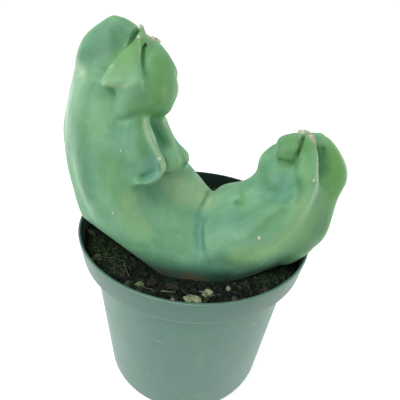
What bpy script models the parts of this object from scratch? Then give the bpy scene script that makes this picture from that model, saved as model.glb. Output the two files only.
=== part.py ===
"""Potted totem pole cactus: a two-armed, lobed stem rooted in gritty soil in a round nursery pot.

Metres, +Z up, origin at the centre of the pot's foot. Sizes below are in millimetres and are turned into
metres where the shapes are made. Points of the plant and of the soil are measured from the centre of the
pot's rim.
"""

import math
import random

import bmesh
import bpy
import numpy as np
from mathutils import Matrix, Vector, noise

MM = 0.001

# Pot, measured up from its foot
POT_HEIGHT = 85.0
RIM_RADIUS = 52.5
COLLAR_HEIGHT = 11.25
COLLAR_FOOT_RADIUS = 51.1
WALL_TOP_RADIUS = 46.7
BASE_RADIUS = 41.15
WALL = 1.2
FLOOR = 1.8
DRAIN_RADIUS = 3.5
DRAIN_RING = 27.0
DRAINS = 6
POT_SIDES = 64

# Soil
SOIL_DEPTH = 6.5
GAP = 0.3
SOIL_SIDES = 48
SOIL_RINGS = 9
CHIPS = 75

CHIP_CORNERS = 11
CHIP_ROOM = 0.3
EDGE_ROOM = 3.2
SEAT_HEIGHT = 9.0

# Plant
VOXEL = 0.7
SMOOTHING = 28
STROKE_STEPS = 8
PLANT_TRIANGLES = 7600
SEAT_GAP = 0.45

# Which material each loose piece takes, where it isn't bark
MINERALS = {"pale_stone": "pale", "perlite_lump": "pale", "grey_bit": "pale", "green_pebble": "green"}


class Arm:
    """A bent stem: its centre line with core radii, and the directions round it."""

    def __init__(self, line):
        self.line = line
        self.samples = [self.place(i / 20)[0] for i in range(20 * (len(line) - 1) + 1)]

    def place(self, where):
        x, y, z, radius = catmull(self.line, where)
        return Vector((x, y, z)), radius

    def frame(self, where):
        """The centre, and the unit directions to the front and across it."""
        centre, _ = self.place(where)
        tangent = (self.place(where + 0.05)[0] - self.place(where - 0.05)[0]).normalized()
        front = Vector((0, -1, 0))
        front = (front - tangent * front.dot(tangent)).normalized()
        return centre, front, tangent.cross(front)

    def nearest(self, point):
        return min(self.samples, key=lambda sample: (sample - point).length)


def catmull(values, where):
    """A smooth curve through equally spaced rows of values, read at a fractional index."""
    last = len(values) - 1
    where = min(max(where, 0.0), float(last))
    first = min(int(where), last - 1)
    part = where - first
    p0 = values[max(first - 1, 0)]
    p1 = values[first]
    p2 = values[first + 1]
    p3 = values[min(first + 2, last)]
    row = []
    for a, b, c, d in zip(p0, p1, p2, p3):
        square = 2 * a - 5 * b + 4 * c - d
        cube = 3 * b - a - 3 * c + d
        row.append(0.5 * (2 * b + (c - a) * part + square * part**2 + cube * part**3))
    return row


def along(stations, where):
    """Rows that start with their place along the arm: the other values, read at that place."""
    places = [row[0] for row in stations]
    index = max([i for i, place in enumerate(places[:-1]) if place <= where], default=0)
    part = (where - places[index]) / (places[index + 1] - places[index])
    return catmull([row[1:] for row in stations], index + part)


def loft(bm, rings):
    """A closed body through rings of points."""
    loops = [[bm.verts.new(point * MM) for point in ring] for ring in rings]
    for lower, upper in zip(loops, loops[1:]):
        for i in range(len(lower)):
            j = (i + 1) % len(lower)
            bm.faces.new((lower[i], lower[j], upper[j], upper[i]))
    bm.faces.new(list(reversed(loops[0])))
    bm.faces.new(loops[-1])


def bar(crest, root, out, across, crest_radius, root_radius):
    """One section of a rib: a rounded crest and a rounded root, joined by straight flanks."""
    ring = []
    for k in range(7):
        turn = math.radians(-90 + 30 * k)
        ring.append(crest + out * crest_radius * math.cos(turn) + across * crest_radius * math.sin(turn))
    for k in range(6):
        turn = math.radians(108 + 28.8 * k)
        ring.append(root + out * root_radius * math.cos(turn) + across * root_radius * math.sin(turn))
    return ring


def rib(bm, arm, side, stations):
    """A rib of the trunk. Rows: place along the arm, angle from the front, reach and crest radius."""
    start, end = stations[0][0], stations[-1][0]
    steps = max(4, round((end - start) * 10))
    rings = []
    for i in range(steps + 1):
        where = start + (end - start) * i / steps
        angle, reach, crest = along(stations, where)
        centre, front, inner = arm.frame(where)
        turn = math.radians(angle) * side
        out = front * math.cos(turn) + inner * math.sin(turn)
        across = front.cross(inner).cross(out)
        middle = centre + out * max(reach - crest, 0.2)
        rings.append(bar(middle, centre, out, across, crest, max(5.0, crest)))
    loft(bm, rings)


def fin(bm, arm, crest):
    """A lobe. Rows: a point on its crest, the crest's radius and its root's radius in the arm's core."""
    steps = (len(crest) - 1) * 4
    points = [catmull(crest, i / 4) for i in range(steps + 1)]
    rings = []
    for i, (x, y, z, radius, root) in enumerate(points):
        here = Vector((x, y, z))
        before, after = points[max(i - 1, 0)], points[min(i + 1, steps)]
        path = Vector(after[:3]) - Vector(before[:3])
        centre = arm.nearest(here)
        out = (here - centre).normalized()
        across = path.cross(out).normalized()
        rings.append(bar(here - out * radius, centre, out, across, radius, root))
    loft(bm, rings)


def fold(bm, arm, path):
    """A wedge that cuts one fold."""
    steps = (len(path) - 1) * 3
    points = [catmull(path, i / 3) for i in range(steps + 1)]
    rings = []
    for i, (x, y, z, half, depth) in enumerate(points):
        here = Vector((x, y, z))
        before, after = points[max(i - 1, 0)], points[min(i + 1, steps)]
        line = Vector(after[:3]) - Vector(before[:3])
        out = (here - arm.nearest(here)).normalized()
        across = line.cross(out).normalized()
        rings.append([here + out * 4 + across * half * 2.4, here + across * half, here - out * depth,
                      here - across * half, here + out * 4 - across * half * 2.4])
    loft(bm, rings)


def lump(whole, balls):
    """A lobe with flat faces and round corners, stretched over balls."""
    bm = bmesh.new()
    for x, y, z, radius in balls:
        at = Matrix.Translation(Vector((x, y, z)) * MM)
        bmesh.ops.create_icosphere(bm, subdivisions=2, radius=radius * MM, matrix=at)
    stretched(bm, bm.verts)
    part = bpy.data.meshes.new("lump")
    bm.to_mesh(part)
    bm.free()
    whole.from_mesh(part)
    bpy.data.meshes.remove(part)


def stretched(bm, points):
    """A skin round points, without the points inside it."""
    hull = bmesh.ops.convex_hull(bm, input=points)
    spare = set(hull["geom_interior"] + hull["geom_unused"])
    inside = [item for item in spare if isinstance(item, bmesh.types.BMVert)]
    bmesh.ops.delete(bm, geom=inside, context="VERTS")


def core(bm, arm):
    rings = []
    for i in range((len(arm.line) - 1) * 6 + 1):
        centre, front, inner = arm.frame(i / 6)
        radius = arm.place(i / 6)[1]
        turns = [math.tau * k / 24 for k in range(24)]
        rings.append([centre + (front * math.cos(a) + inner * math.sin(a)) * radius for a in turns])
    loft(bm, rings)


LEFT = Arm([
    (10, -11, -6, 19),
    (-9, -10, -2, 19.5),
    (-25, -8, 8, 19),
    (-33.5, -6, 24, 18),
    (-35, -5.5, 41, 16.5),
    (-32.5, -6, 55, 12),
    (-28.5, -7, 67, 7),
    (-24, -8, 77, 3),
])

RIGHT = Arm([
    (0, -11, -6, 19),
    (16, -11, 0, 18.5),
    (29.5, -11, 9, 17.5),
    (38.5, -10, 20, 14),
    (41, -9, 31, 10),
    (40.5, -8.5, 41, 5),
    (39, -8, 45.8, 1.8),
])

LEFT_RIBS = [
    [(0.5, -88, 21, 12), (1.4, -88, 22.5, 12), (2, -88, 25, 11), (2.5, -88, 23, 10), (3, -88, 21, 9),
     (4, -92, 20, 8), (4.8, -95, 18, 7)],
    [(0.3, -5, 22.5, 15), (1, -6, 22.5, 14), (2, -8, 21.5, 13), (3, -10, 20.5, 12), (4, -14, 20, 12),
     (4.6, -20, 18, 10), (5.2, -26, 11, 8)],
    [(0.5, 150, 20.5, 12), (3, 150, 20.5, 9), (4, 148, 19.5, 7), (5, 140, 19, 5), (6, 135, 15, 4),
     (6.8, 130, 8, 3)],
    [(0.5, 205, 20.5, 12), (3, 208, 20.5, 9), (4, 210, 19.5, 7), (5, 212, 19, 5), (6, 215, 15, 4),
     (6.8, 215, 8, 3)],
]

RIGHT_RIBS = [
    [(0.3, 0, 22.5, 14), (1, -2, 22, 13), (2, -6, 20, 12), (2.8, -8, 17, 9)],
    [(0.5, -80, 20, 12), (1.6, -75, 20, 11), (2.6, -75, 19, 9), (3.2, -80, 17, 7)],
    [(0.5, 150, 20, 12), (3, 150, 18.5, 7), (4, 145, 16, 5), (5, 140, 10, 4), (5.6, 135, 6, 3)],
    [(0.5, 210, 20, 12), (3, 210, 18.5, 7), (4, 212, 17, 5), (5, 215, 12, 4), (5.6, 215, 7, 3)],
]

LEFT_LOBES = {
    "shoulder": [(-55.4, -6, 36, 8, 10), (-55, -6, 44, 7, 10), (-51.3, -6, 57, 6, 10),
                 (-48, -6, 67, 5, 10), (-46.2, -6, 73, 4.5, 9), (-43, -6, 77.5, 4.5, 8),
                 (-36.5, -6, 82, 4, 6), (-33.8, -5.5, 82.8, 3.6, 5), (-29.7, -5.5, 81.5, 3.2, 4),
                 (-25.5, -5.5, 79.8, 2.5, 3)],
    "shelf": [(-48.5, -8, 61, 6, 8), (-44, -12.5, 64, 5, 8), (-38.5, -16.8, 67, 4, 7),
              (-34, -18.6, 68.6, 3.4, 7), (-30, -19, 70, 2.6, 6)],
    "face": [(-28, -22, 57, 6, 9), (-28.5, -25, 50, 8, 10), (-28.5, -26.5, 42, 9, 11),
             (-28, -27.8, 34, 10, 12), (-27, -28.3, 26, 11, 13), (-23, -27.5, 17, 12, 14),
             (-16, -27, 9, 12, 14)],
    "flange": [(-21, -18, 54.5, 1.7, 5), (-20, -20.3, 50.5, 1.7, 5), (-18.8, -21, 47.5, 1.7, 5),
               (-16.8, -21.5, 44, 1.7, 5), (-14.6, -22, 41, 1.7, 5), (-12.9, -22.4, 38, 1.8, 5),
               (-12.3, -23, 35.2, 1.9, 5), (-13.3, -24.6, 32.8, 1.9, 4.5), (-15.8, -26.5, 31.4, 1.8, 4),
               (-19, -28.2, 31, 1.7, 4), (-22.5, -28.8, 32, 1.6, 3)],
    "neck": [(-15.8, -11, 54, 4.5, 7), (-14, -11.5, 49, 4.5, 7), (-11.8, -12.3, 44.5, 4.5, 7),
             (-9.4, -13.5, 40, 5, 8), (-7.6, -14, 36.5, 5, 8), (-7.2, -13.5, 33, 5, 8)],
    "nose": [(-14, -8, 50.5, 3, 6), (-12.4, -8, 46, 3.2, 6), (-10.4, -8, 42.3, 3.5, 6),
             (-8, -8.5, 39.8, 4, 6), (-5.2, -9, 37.6, 4.2, 6), (-3.8, -9, 35.4, 4.2, 6),
             (-4.3, -9, 32.5, 4.2, 6)],
    "back tip": [(-24.5, 4, 68, 4, 5), (-25.5, 1, 76, 2.4, 3.5), (-24.8, -2, 80.2, 1.4, 2)],
    "side tip": [(-17.5, 3, 66, 4, 5), (-19.5, 1.5, 73, 2.4, 3.5), (-21.3, -1, 76.8, 1.4, 2)],
    "saddle": [(-9, -7, 33, 9, 11), (-3, -6, 29.5, 9, 11), (0, -5, 26, 9, 11), (3, -5, 22.5, 9, 11),
               (5.5, -4, 19, 9, 11)],
}

RIGHT_LOBES = {
    "back tip": [(38, 1, 40, 4, 5), (38, -1, 45, 2.4, 3.5), (38.5, -5, 47.6, 1.4, 2)],
    "shoulder": [(7.5, -4, 20, 8, 11), (11, -5, 23, 8, 10), (17, -7, 25.5, 7, 10), (20.5, -8, 28.2, 6, 9),
                 (22.8, -9, 32, 5, 8), (22.4, -9, 36, 4.5, 7), (23.8, -9, 39.6, 4.5, 6),
                 (28, -9, 43, 4, 5)],
    "sweep": [(41.8, -24, 38.5, 2.4, 6), (39.9, -26.5, 33.5, 4, 7), (34.1, -28.5, 26.5, 6, 9),
              (28.8, -29.5, 21, 8, 10), (20, -30.3, 14, 10, 12), (11, -31, 9.5, 12, 14),
              (4, -31, 7.5, 12, 14)],
    "cheek": [(44.8, -7, 47.6, 1.6, 3), (46.2, -8.2, 49, 2.2, 5), (48, -8.5, 48.8, 4, 6),
              (52.5, -8.5, 45.2, 4.5, 7), (57, -8.5, 39.8, 5, 8), (59.2, -9, 35, 5.5, 8),
              (59.3, -9.5, 30.5, 6, 9), (57.5, -10.5, 25.5, 7, 9), (57, -11.5, 18, 8, 10),
              (56.3, -13, 11, 9, 11), (54, -15, 5, 9, 11), (49, -16, 0.5, 10, 12)],
}

# Lobes of the crowns with flat faces: the balls that a skin is stretched over. Rows: a middle and a radius.
LUMPS = {
    "left beak": [(-23.4, -12.4, 77.1, 0.9), (-25.6, -14.2, 75.3, 1.2), (-28, -17.2, 72.4, 1.4),
                  (-30.4, -20.4, 69, 1.5), (-32.4, -24.6, 65, 1.6), (-22.3, -22.6, 66.2, 2),
                  (-22.6, -20, 68.6, 1.6), (-22.9, -16.6, 72.2, 1.3), (-28, -12, 66, 5)],
    "left pillow": [(-27.2, -22.6, 63.6, 2.6), (-23, -22.6, 65.6, 2.6), (-27.4, -22.2, 57, 2.6),
                    (-22.8, -21.3, 57.6, 2.8), (-27, -12, 60, 7)],
    "left join": [(-21, -20, 65, 2.4), (-21, -19.6, 57.4, 2.6), (-17.5, -16.8, 62, 4), (-24, -20, 61, 3)],
    "left cheek": [(-20.6, -9.5, 73.8, 2.2), (-18, -8.4, 74.6, 1.9), (-16.3, -10, 71.3, 3.2),
                   (-14.6, -11, 66.5, 4.7), (-14.2, -11.5, 61, 4.8), (-15.7, -12.3, 56.4, 4.6),
                   (-18.5, -14.2, 66, 5.4), (-19.3, -15.9, 59.5, 5.4), (-19, -13, 71, 3.6),
                   (-21.4, -8, 74, 2), (-24, -9, 60, 7)],
    "left temple": [(-33.8, -8.5, 79, 3), (-40.5, -8.5, 74.8, 3), (-44, -9, 68, 3.4),
                    (-38.5, -15, 66.4, 3), (-32, -15.6, 69.4, 2.4), (-29, -10.5, 75.5, 2)],
    "left back tip": [(-24.4, -3, 79.7, 1.2), (-24.8, -4.5, 77, 1.9), (-25.5, -5, 72, 3)],
    "left side tip": [(-23, -5, 75, 1.6), (-20.5, -3, 75.9, 1.2), (-18.6, -3.2, 75.3, 1.2),
                      (-19.5, -5, 71, 3)],
    "left face": [(-43, -12, 58, 5.5), (-36.5, -16.5, 62.5, 5), (-31, -18, 61, 5), (-30.5, -19, 53, 6),
                  (-38.5, -16.5, 52, 7), (-44.5, -12.5, 50, 6.5), (-45, -12, 38, 7.5), (-36, -18, 40, 9),
                  (-33, -8, 50, 8)],
    "left web": [(-22.5, -18.2, 52, 3.5), (-20.6, -18.3, 45, 4), (-18, -19, 40, 3.5),
                 (-16.8, -20.2, 36.5, 3), (-23, -21, 36, 5), (-26, -21.5, 44, 5), (-26, -19.5, 52, 5)],
    "right knob": [(30.6, -13.6, 46.4, 3.4), (34.6, -12, 48.2, 2.5), (30, -16.4, 43.9, 3.2),
                   (32.6, -15.8, 45.8, 3.2), (31.2, -17.6, 42.2, 2.3), (32.8, -16.9, 42.8, 2),
                   (36, -7, 40, 4)],
    "right horn": [(40.4, -10.6, 48.3, 0.9), (41.8, -12.6, 46.5, 0.9), (41.8, -17.6, 44, 1),
                   (41.6, -21, 41, 1.2), (40.9, -23.6, 37.6, 1.7), (39.4, -13, 46.6, 1),
                   (37.6, -16.2, 44.4, 1.1), (36.6, -19.2, 40.4, 1.5), (37, -21.4, 37, 1.8),
                   (38.6, -23.6, 34, 2.4), (41, -10, 38, 5)],
    "right web": [(32.5, -13.6, 38.5, 4), (31.4, -14.8, 33, 5.6), (35, -17.4, 34.5, 4), (33, -9, 30, 8)],
    "right flank": [(44.8, -17.2, 32, 2), (38, -24, 25, 3), (36.5, -24.6, 21, 4), (33.5, -25, 14, 5),
                    (52.6, -13.2, 24, 3.4), (51.5, -13.5, 20, 4.5), (48.5, -15, 11, 6),
                    (42.7, -18.2, 5.6, 7.2), (37.5, -20, 3, 7.4), (42, -10, 18, 8)],
}

# Folds between lobes. Rows: a point on the skin, half the fold's width there and its depth.
LEFT_FOLDS = [
    [(-24, -9.5, 79, 0.5, 2), (-25.6, -12.2, 77.3, 0.7, 3), (-28.6, -16, 74.4, 0.7, 3),
     (-31.5, -19.4, 71.4, 0.3, 1)],
    [(-21.9, -11.4, 76.2, 0.4, 1.4), (-21.8, -13.4, 75.2, 0.7, 4), (-21.4, -16.5, 72.5, 1, 4.5),
     (-21.2, -18.5, 69.5, 0.4, 1.5)],
]
RIGHT_FOLDS = [
    [(38.2, -9.5, 48, 0.3, 1), (37.6, -11.5, 48, 0.5, 2.4), (36.2, -15, 45.8, 0.55, 4),
     (35.2, -17.4, 43.6, 0.5, 3), (34.9, -18.4, 42.2, 0.3, 1)],
]

# Where the skin is eased less: a centre and a radius round it.
CRISP = [
    ((-25, -15, 72), 16),
    ((-14, -19, 39), 11),
    ((38, -13, 46), 11),
]

# Where the stem is cut back over the soil on the left: a point of the plane and its direction into the stem.
PARED = ((-35.1, -25.1, 5.9), (0.502, 0.618, 0.605))

# Soft dents and raised lines, pressed into the skin and out of it. Rows: points by the skin, half the
# width, the height (below 0 for a dent), and whether its bottom or crest is sharp.
STROKES = [
    ([(-29.6, -24.2, 53.6), (-26.4, -24, 53.4), (-23, -23, 55)], 1.6, -1.0, True),
    ([(-12.4, -12, 68), (-12, -10, 62), (-12, -12, 56)], 2, -0.7, False),
    ([(-29.9, -23, 63), (-30.2, -24, 58), (-29.8, -24.2, 54)], 1.8, -0.7, False),
    ([(-20.6, -20.5, 53), (-20, -21.5, 50.5), (-18.8, -22, 47.5), (-16.8, -22.6, 44), (-14.6, -23.2, 41),
      (-12.9, -23.6, 38), (-12.3, -24.4, 35.2), (-13.3, -26, 32.8), (-15.8, -28, 31.4), (-19, -29, 31)],
      1.6, 0.6, True),
    ([(-19, -16, 51), (-17, -16, 47), (-14, -17, 43), (-11.5, -17, 39.5)], 2.6, -1.4, False),
    ([(-11, -22, 34.5), (-12, -24, 32), (-15, -26, 30), (-19, -27.5, 29), (-22, -27.5, 29)], 2.6, -2.2,
      True),
    ([(43.2, -9, 49), (44, -11, 47), (44.6, -14, 43.2), (45, -17, 39.5)], 1.7, -1.7, True),
    ([(-7, -12, 33), (-5.5, -12, 32), (-3.5, -11, 32)], 2.2, -1.2, True),
    ([(44.8, -12, 46.2), (45.9, -12, 42.7), (46.6, -13, 39), (47.4, -15, 33.8)], 3.6, -2, False),
    ([(28, -18.5, 41.2), (30.4, -19.5, 40.2), (33.6, -19.6, 41)], 1.6, -1.8, True),
    ([(31, -20, 38), (31.5, -23, 32), (31, -25, 27)], 6, -0.8, False),
    ([(5.9, -7.5, 20.8), (4.8, -11, 20.3), (4.2, -13.3, 18.6), (2.4, -15.6, 15.9)], 1.8, -1.8, True),
    ([(2.8, -15, 16.5), (2.2, -20.3, 12.7), (2.7, -26.5, 8.3), (5, -31.8, 2.9)], 3, -0.9, False),
    ([(16.1, -13.9, 21.7), (16.2, -17.1, 19.8)], 1.6, -0.7, False),
    ([(32.5, -27.6, 26.3), (29.4, -28.2, 23.2), (25.6, -29.1, 18.9)], 3, -0.6, False),
]

# Spine cushions: a point at or over the skin, and a radius.
CUSHIONS = [
    ((-23.6, -12.5, 77.6), 1.1),
    ((-30.9, -28, 18.2), 0.8),
    ((-27.5, -26, 43), 0.7),
    ((-13.6, -21.5, 39.6), 0.9),
    ((-12.5, -20, 36), 0.9),
    ((42.3, -12, 48.6), 1.3),
    ((38.6, -6, 49.3), 1.4),
    ((40.9, -24.5, 37.6), 0.9),
    ((24.9, -28.5, 14.4), 1.0),
    ((-24.8, -2, 80.3), 1.4),
    ((-21.1, 0, 76.7), 1.3),
]


def add(name, mesh, material=None):
    obj = bpy.data.objects.new(name, mesh)
    bpy.context.scene.collection.objects.link(obj)
    if material:
        obj.data.materials.append(material)
    return obj


def from_bmesh(name, bm, material=None):
    mesh = bpy.data.meshes.new(name)
    bmesh.ops.recalc_face_normals(bm, faces=bm.faces)
    bm.to_mesh(mesh)
    bm.free()
    return add(name, mesh, material)


def applied(obj):
    """The object with its modifiers made part of its mesh."""
    graph = bpy.context.evaluated_depsgraph_get()
    mesh = bpy.data.meshes.new_from_object(obj.evaluated_get(graph))
    obj.modifiers.clear()
    obj.data = mesh
    return obj


def helper(obj):
    obj.hide_render = True
    obj.display_type = "WIRE"
    return obj


def boolean(obj, other, operation):
    modifier = obj.modifiers.new(operation.lower(), "BOOLEAN")
    modifier.object = other
    modifier.operation = operation
    modifier.solver = "EXACT"


def points_of(mesh):
    points = np.empty(len(mesh.vertices) * 3)
    mesh.vertices.foreach_get("co", points)
    return points.reshape(-1, 3)


def normals_of(mesh):
    normals = np.empty(len(mesh.vertices) * 3, dtype=np.float32)
    mesh.vertices.foreach_get("normal", normals)
    return normals.reshape(-1, 3)


def move(mesh, points):
    mesh.vertices.foreach_set("co", points.ravel())
    mesh.update()


def eased(mesh, rounds):
    """Moves each point towards the middle of its neighbours, by a share that depends on where it is."""
    points = points_of(mesh)
    count = len(points)
    ends = np.empty(len(mesh.edges) * 2, dtype=np.int64)
    mesh.edges.foreach_get("vertices", ends)
    first, second = ends.reshape(-1, 2).T
    degree = np.bincount(ends, minlength=count)[:, None]
    share = easing(points)[:, None]
    for _ in range(rounds):
        total = np.zeros_like(points)
        for axis in range(3):
            total[:, axis] += np.bincount(first, points[second, axis], count)
            total[:, axis] += np.bincount(second, points[first, axis], count)
        points = points + share * (total / degree - points)
    move(mesh, points)


def easing(points):
    """How much each point is smoothed: a little round the crowns and folds, more on the trunk."""
    share = np.full(len(points), 0.6)
    for centre, radius in CRISP:
        middle = (np.array(centre) + (0, 0, POT_HEIGHT)) * MM
        distance = np.linalg.norm(points - middle, axis=1) / (radius * MM)
        share = np.minimum(share, np.clip(0.04 + 0.56 * (distance - 0.8) / 0.5, 0.04, 0.6))
    return share


def pared(mesh):
    """Moves what stands out past a plane back onto it."""
    place, normal = (np.array(row) for row in PARED)
    points = points_of(mesh)
    beyond = (points - (place + (0, 0, POT_HEIGHT)) * MM) @ normal
    move(mesh, points - np.minimum(beyond, 0)[:, None] * normal)


def on_skin(obj, point):
    """The place on the skin nearest to a point, and the skin's direction there."""
    _, place, normal, _ = obj.closest_point_on_mesh((Vector(point) + Vector((0, 0, POT_HEIGHT))) * MM)
    return place, normal


def pressed(obj):
    """Presses the dents into the skin and raises the lines on it, each fading towards its ends."""
    for path, half, height, sharp in STROKES:
        points = points_of(obj.data)
        steps = (len(path) - 1) * STROKE_STEPS
        places = [on_skin(obj, catmull(path, i / STROKE_STEPS))[0] for i in range(steps + 1)]
        gaps = np.linalg.norm(points[:, None] - np.array(places)[None], axis=2)
        nearest = gaps.argmin(axis=1)
        share = np.clip(1 - gaps.min(axis=1) / (half * MM), 0, 1)
        if not sharp:
            share = share**2 * (3 - 2 * share)
        fade = np.minimum(nearest, steps - nearest) / (0.25 * steps) + 0.15
        share = share * np.clip(fade, 0, 1)
        move(obj.data, points + share[:, None] * height * MM * normals_of(obj.data))


def plant(material):
    bm = bmesh.new()
    core(bm, LEFT)
    core(bm, RIGHT)
    for stations in LEFT_RIBS:
        rib(bm, LEFT, 1, stations)
    for stations in RIGHT_RIBS:
        rib(bm, RIGHT, -1, stations)
    for crest in LEFT_LOBES.values():
        fin(bm, LEFT, crest)
    for crest in RIGHT_LOBES.values():
        fin(bm, RIGHT, crest)
    for balls in LUMPS.values():
        lump(bm, balls)
    lift = Matrix.Translation((0, 0, POT_HEIGHT * MM))
    bm.transform(lift)
    obj = from_bmesh("cactus", bm, material)
    remesh = obj.modifiers.new("fuse", "REMESH")
    remesh.mode = "VOXEL"
    remesh.voxel_size = VOXEL * MM
    applied(obj)
    pared(obj.data)
    eased(obj.data, SMOOTHING)
    pressed(obj)
    thin = obj.modifiers.new("thin", "DECIMATE")
    thin.ratio = PLANT_TRIANGLES / (2 * len(obj.data.polygons))
    applied(obj)
    folds = [(LEFT, path) for path in LEFT_FOLDS] + [(RIGHT, path) for path in RIGHT_FOLDS]
    for i, (arm, path) in enumerate(folds):
        bm = bmesh.new()
        fold(bm, arm, path)
        bm.transform(lift)
        cutter = helper(from_bmesh(f"fold_{i}", bm))
        boolean(obj, cutter, "DIFFERENCE")
    applied(obj)
    for i, (centre, radius) in enumerate(CUSHIONS):
        place, normal = on_skin(obj, centre)
        bm = bmesh.new()
        at = Matrix.Translation(place - normal * radius * 0.35 * MM)
        bmesh.ops.create_icosphere(bm, subdivisions=2, radius=radius * MM, matrix=at)
        boolean(obj, helper(from_bmesh(f"cushion_{i}", bm)), "UNION")
    return applied(obj)


def revolved(name, profile, sides, material):
    """A closed body turned from a profile that starts and ends on the axis."""
    bm = bmesh.new()
    loops = []
    for radius, height in profile:
        if radius == 0:
            loops.append([bm.verts.new((0, 0, height * MM))] * sides)
            continue
        turns = [math.tau * k / sides for k in range(sides)]
        ring = [Vector((radius * math.cos(a), radius * math.sin(a), height)) for a in turns]
        loops.append([bm.verts.new(point * MM) for point in ring])
    for first, second in zip(loops, loops[1:]):
        for i in range(sides):
            j = (i + 1) % sides
            corners = [first[i], first[j], second[j], second[i]]
            bm.faces.new(list(dict.fromkeys(corners)))
    return from_bmesh(name, bm, material)


def pot(material):
    foot = BASE_RADIUS - 2.5
    collar = POT_HEIGHT - COLLAR_HEIGHT
    profile = [
        (0, 0),
        (foot, 0),
        (BASE_RADIUS - 0.9, 0.7),
        (BASE_RADIUS, 2.8),
        (WALL_TOP_RADIUS, collar),
        (COLLAR_FOOT_RADIUS - 0.5, collar),
        (COLLAR_FOOT_RADIUS, collar + 0.5),
        (RIM_RADIUS - 0.1, POT_HEIGHT - 0.9),
        (RIM_RADIUS, POT_HEIGHT - 0.35),
        (RIM_RADIUS - 0.35, POT_HEIGHT),
        (RIM_RADIUS - WALL + 0.2, POT_HEIGHT),
        (RIM_RADIUS - WALL, POT_HEIGHT - 0.3),
        (COLLAR_FOOT_RADIUS - WALL, collar + WALL),
        (WALL_TOP_RADIUS - WALL, collar + WALL - 0.4),
        (BASE_RADIUS - WALL, FLOOR + 1.2),
        (BASE_RADIUS - WALL - 1.2, FLOOR),
        (0, FLOOR),
    ]
    obj = revolved("pot", profile, POT_SIDES, material)
    for i in range(DRAINS):
        turn = math.tau * (i + 0.54) / DRAINS
        bm = bmesh.new()
        place = Vector((DRAIN_RING * math.cos(turn), DRAIN_RING * math.sin(turn), 1.5))
        at = Matrix.Translation(place * MM)
        bmesh.ops.create_cone(bm, segments=16, radius1=DRAIN_RADIUS * MM, radius2=DRAIN_RADIUS * MM,
                              depth=6 * MM, cap_ends=True, matrix=at)
        boolean(obj, helper(from_bmesh(f"drain_{i}", bm)), "DIFFERENCE")
    return applied(obj)


def pebble(bm, centre, radii, turn, seed, rough, detail):
    """A stone: its centre, radii and turn, and how far noise moves its surface."""
    made = bmesh.ops.create_icosphere(bm, subdivisions=detail, radius=1.0)["verts"]
    matrix = (
        Matrix.Translation(Vector(centre) * MM)
        @ Matrix.Rotation(math.radians(turn[2]), 4, "Z")
        @ Matrix.Rotation(math.radians(turn[1]), 4, "Y")
        @ Matrix.Rotation(math.radians(turn[0]), 4, "X")
    )
    for vert in made:
        shift = noise.noise(vert.co * 1.3 + Vector((seed, 0, 0)))
        point = vert.co * (1 + rough * shift)
        vert.co = matrix @ (Vector((point.x * radii[0], point.y * radii[1], point.z * radii[2])) * MM)
    return made


# Stones, chips and stubs in view. Rows: middle, radii, turn, roughness and detail.
LOOSE = {
    "pale_stone": ((2.6, -44.4, 78.6), (3.8, 1.9, 1.5), (0, 6, -4), 0.35, 3),
    "perlite_lump": ((7.4, -41.2, 79.6), (2.1, 1.4, 1.5), (0, 0, 15), 0.5, 3),
    "green_pebble": ((-18.7, -39.8, 79.2), (1.6, 1.5, 1.7), (0, 0, 30), 0.3, 2),
    "bark_chip": ((-14.2, -37.8, 79.4), (2.9, 1.5, 1.2), (0, 14, 55), 0.3, 2),
    "dark_chip": ((-6.4, -39.4, 79.4), (3.2, 1.5, 1.3), (0, -10, -20), 0.3, 2),
    "twig_stub": ((21.9, -36.6, 80.4), (0.9, 0.9, 3.4), (8, -6, 0), 0.15, 2),
    "grey_bit": ((15.4, -37, 79.1), (1.1, 0.9, 0.8), (0, 0, 75), 0.3, 2),
    "left_chip": ((-39.6, -26.2, 79.2), (2.6, 1.2, 1.0), (0, 6, 65), 0.3, 2),
}


def relief(x, y):
    at = Vector((x, y, 0))
    return 0.9 * noise.noise(at * 0.11) + 0.5 * noise.noise(at * 0.31)


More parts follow.
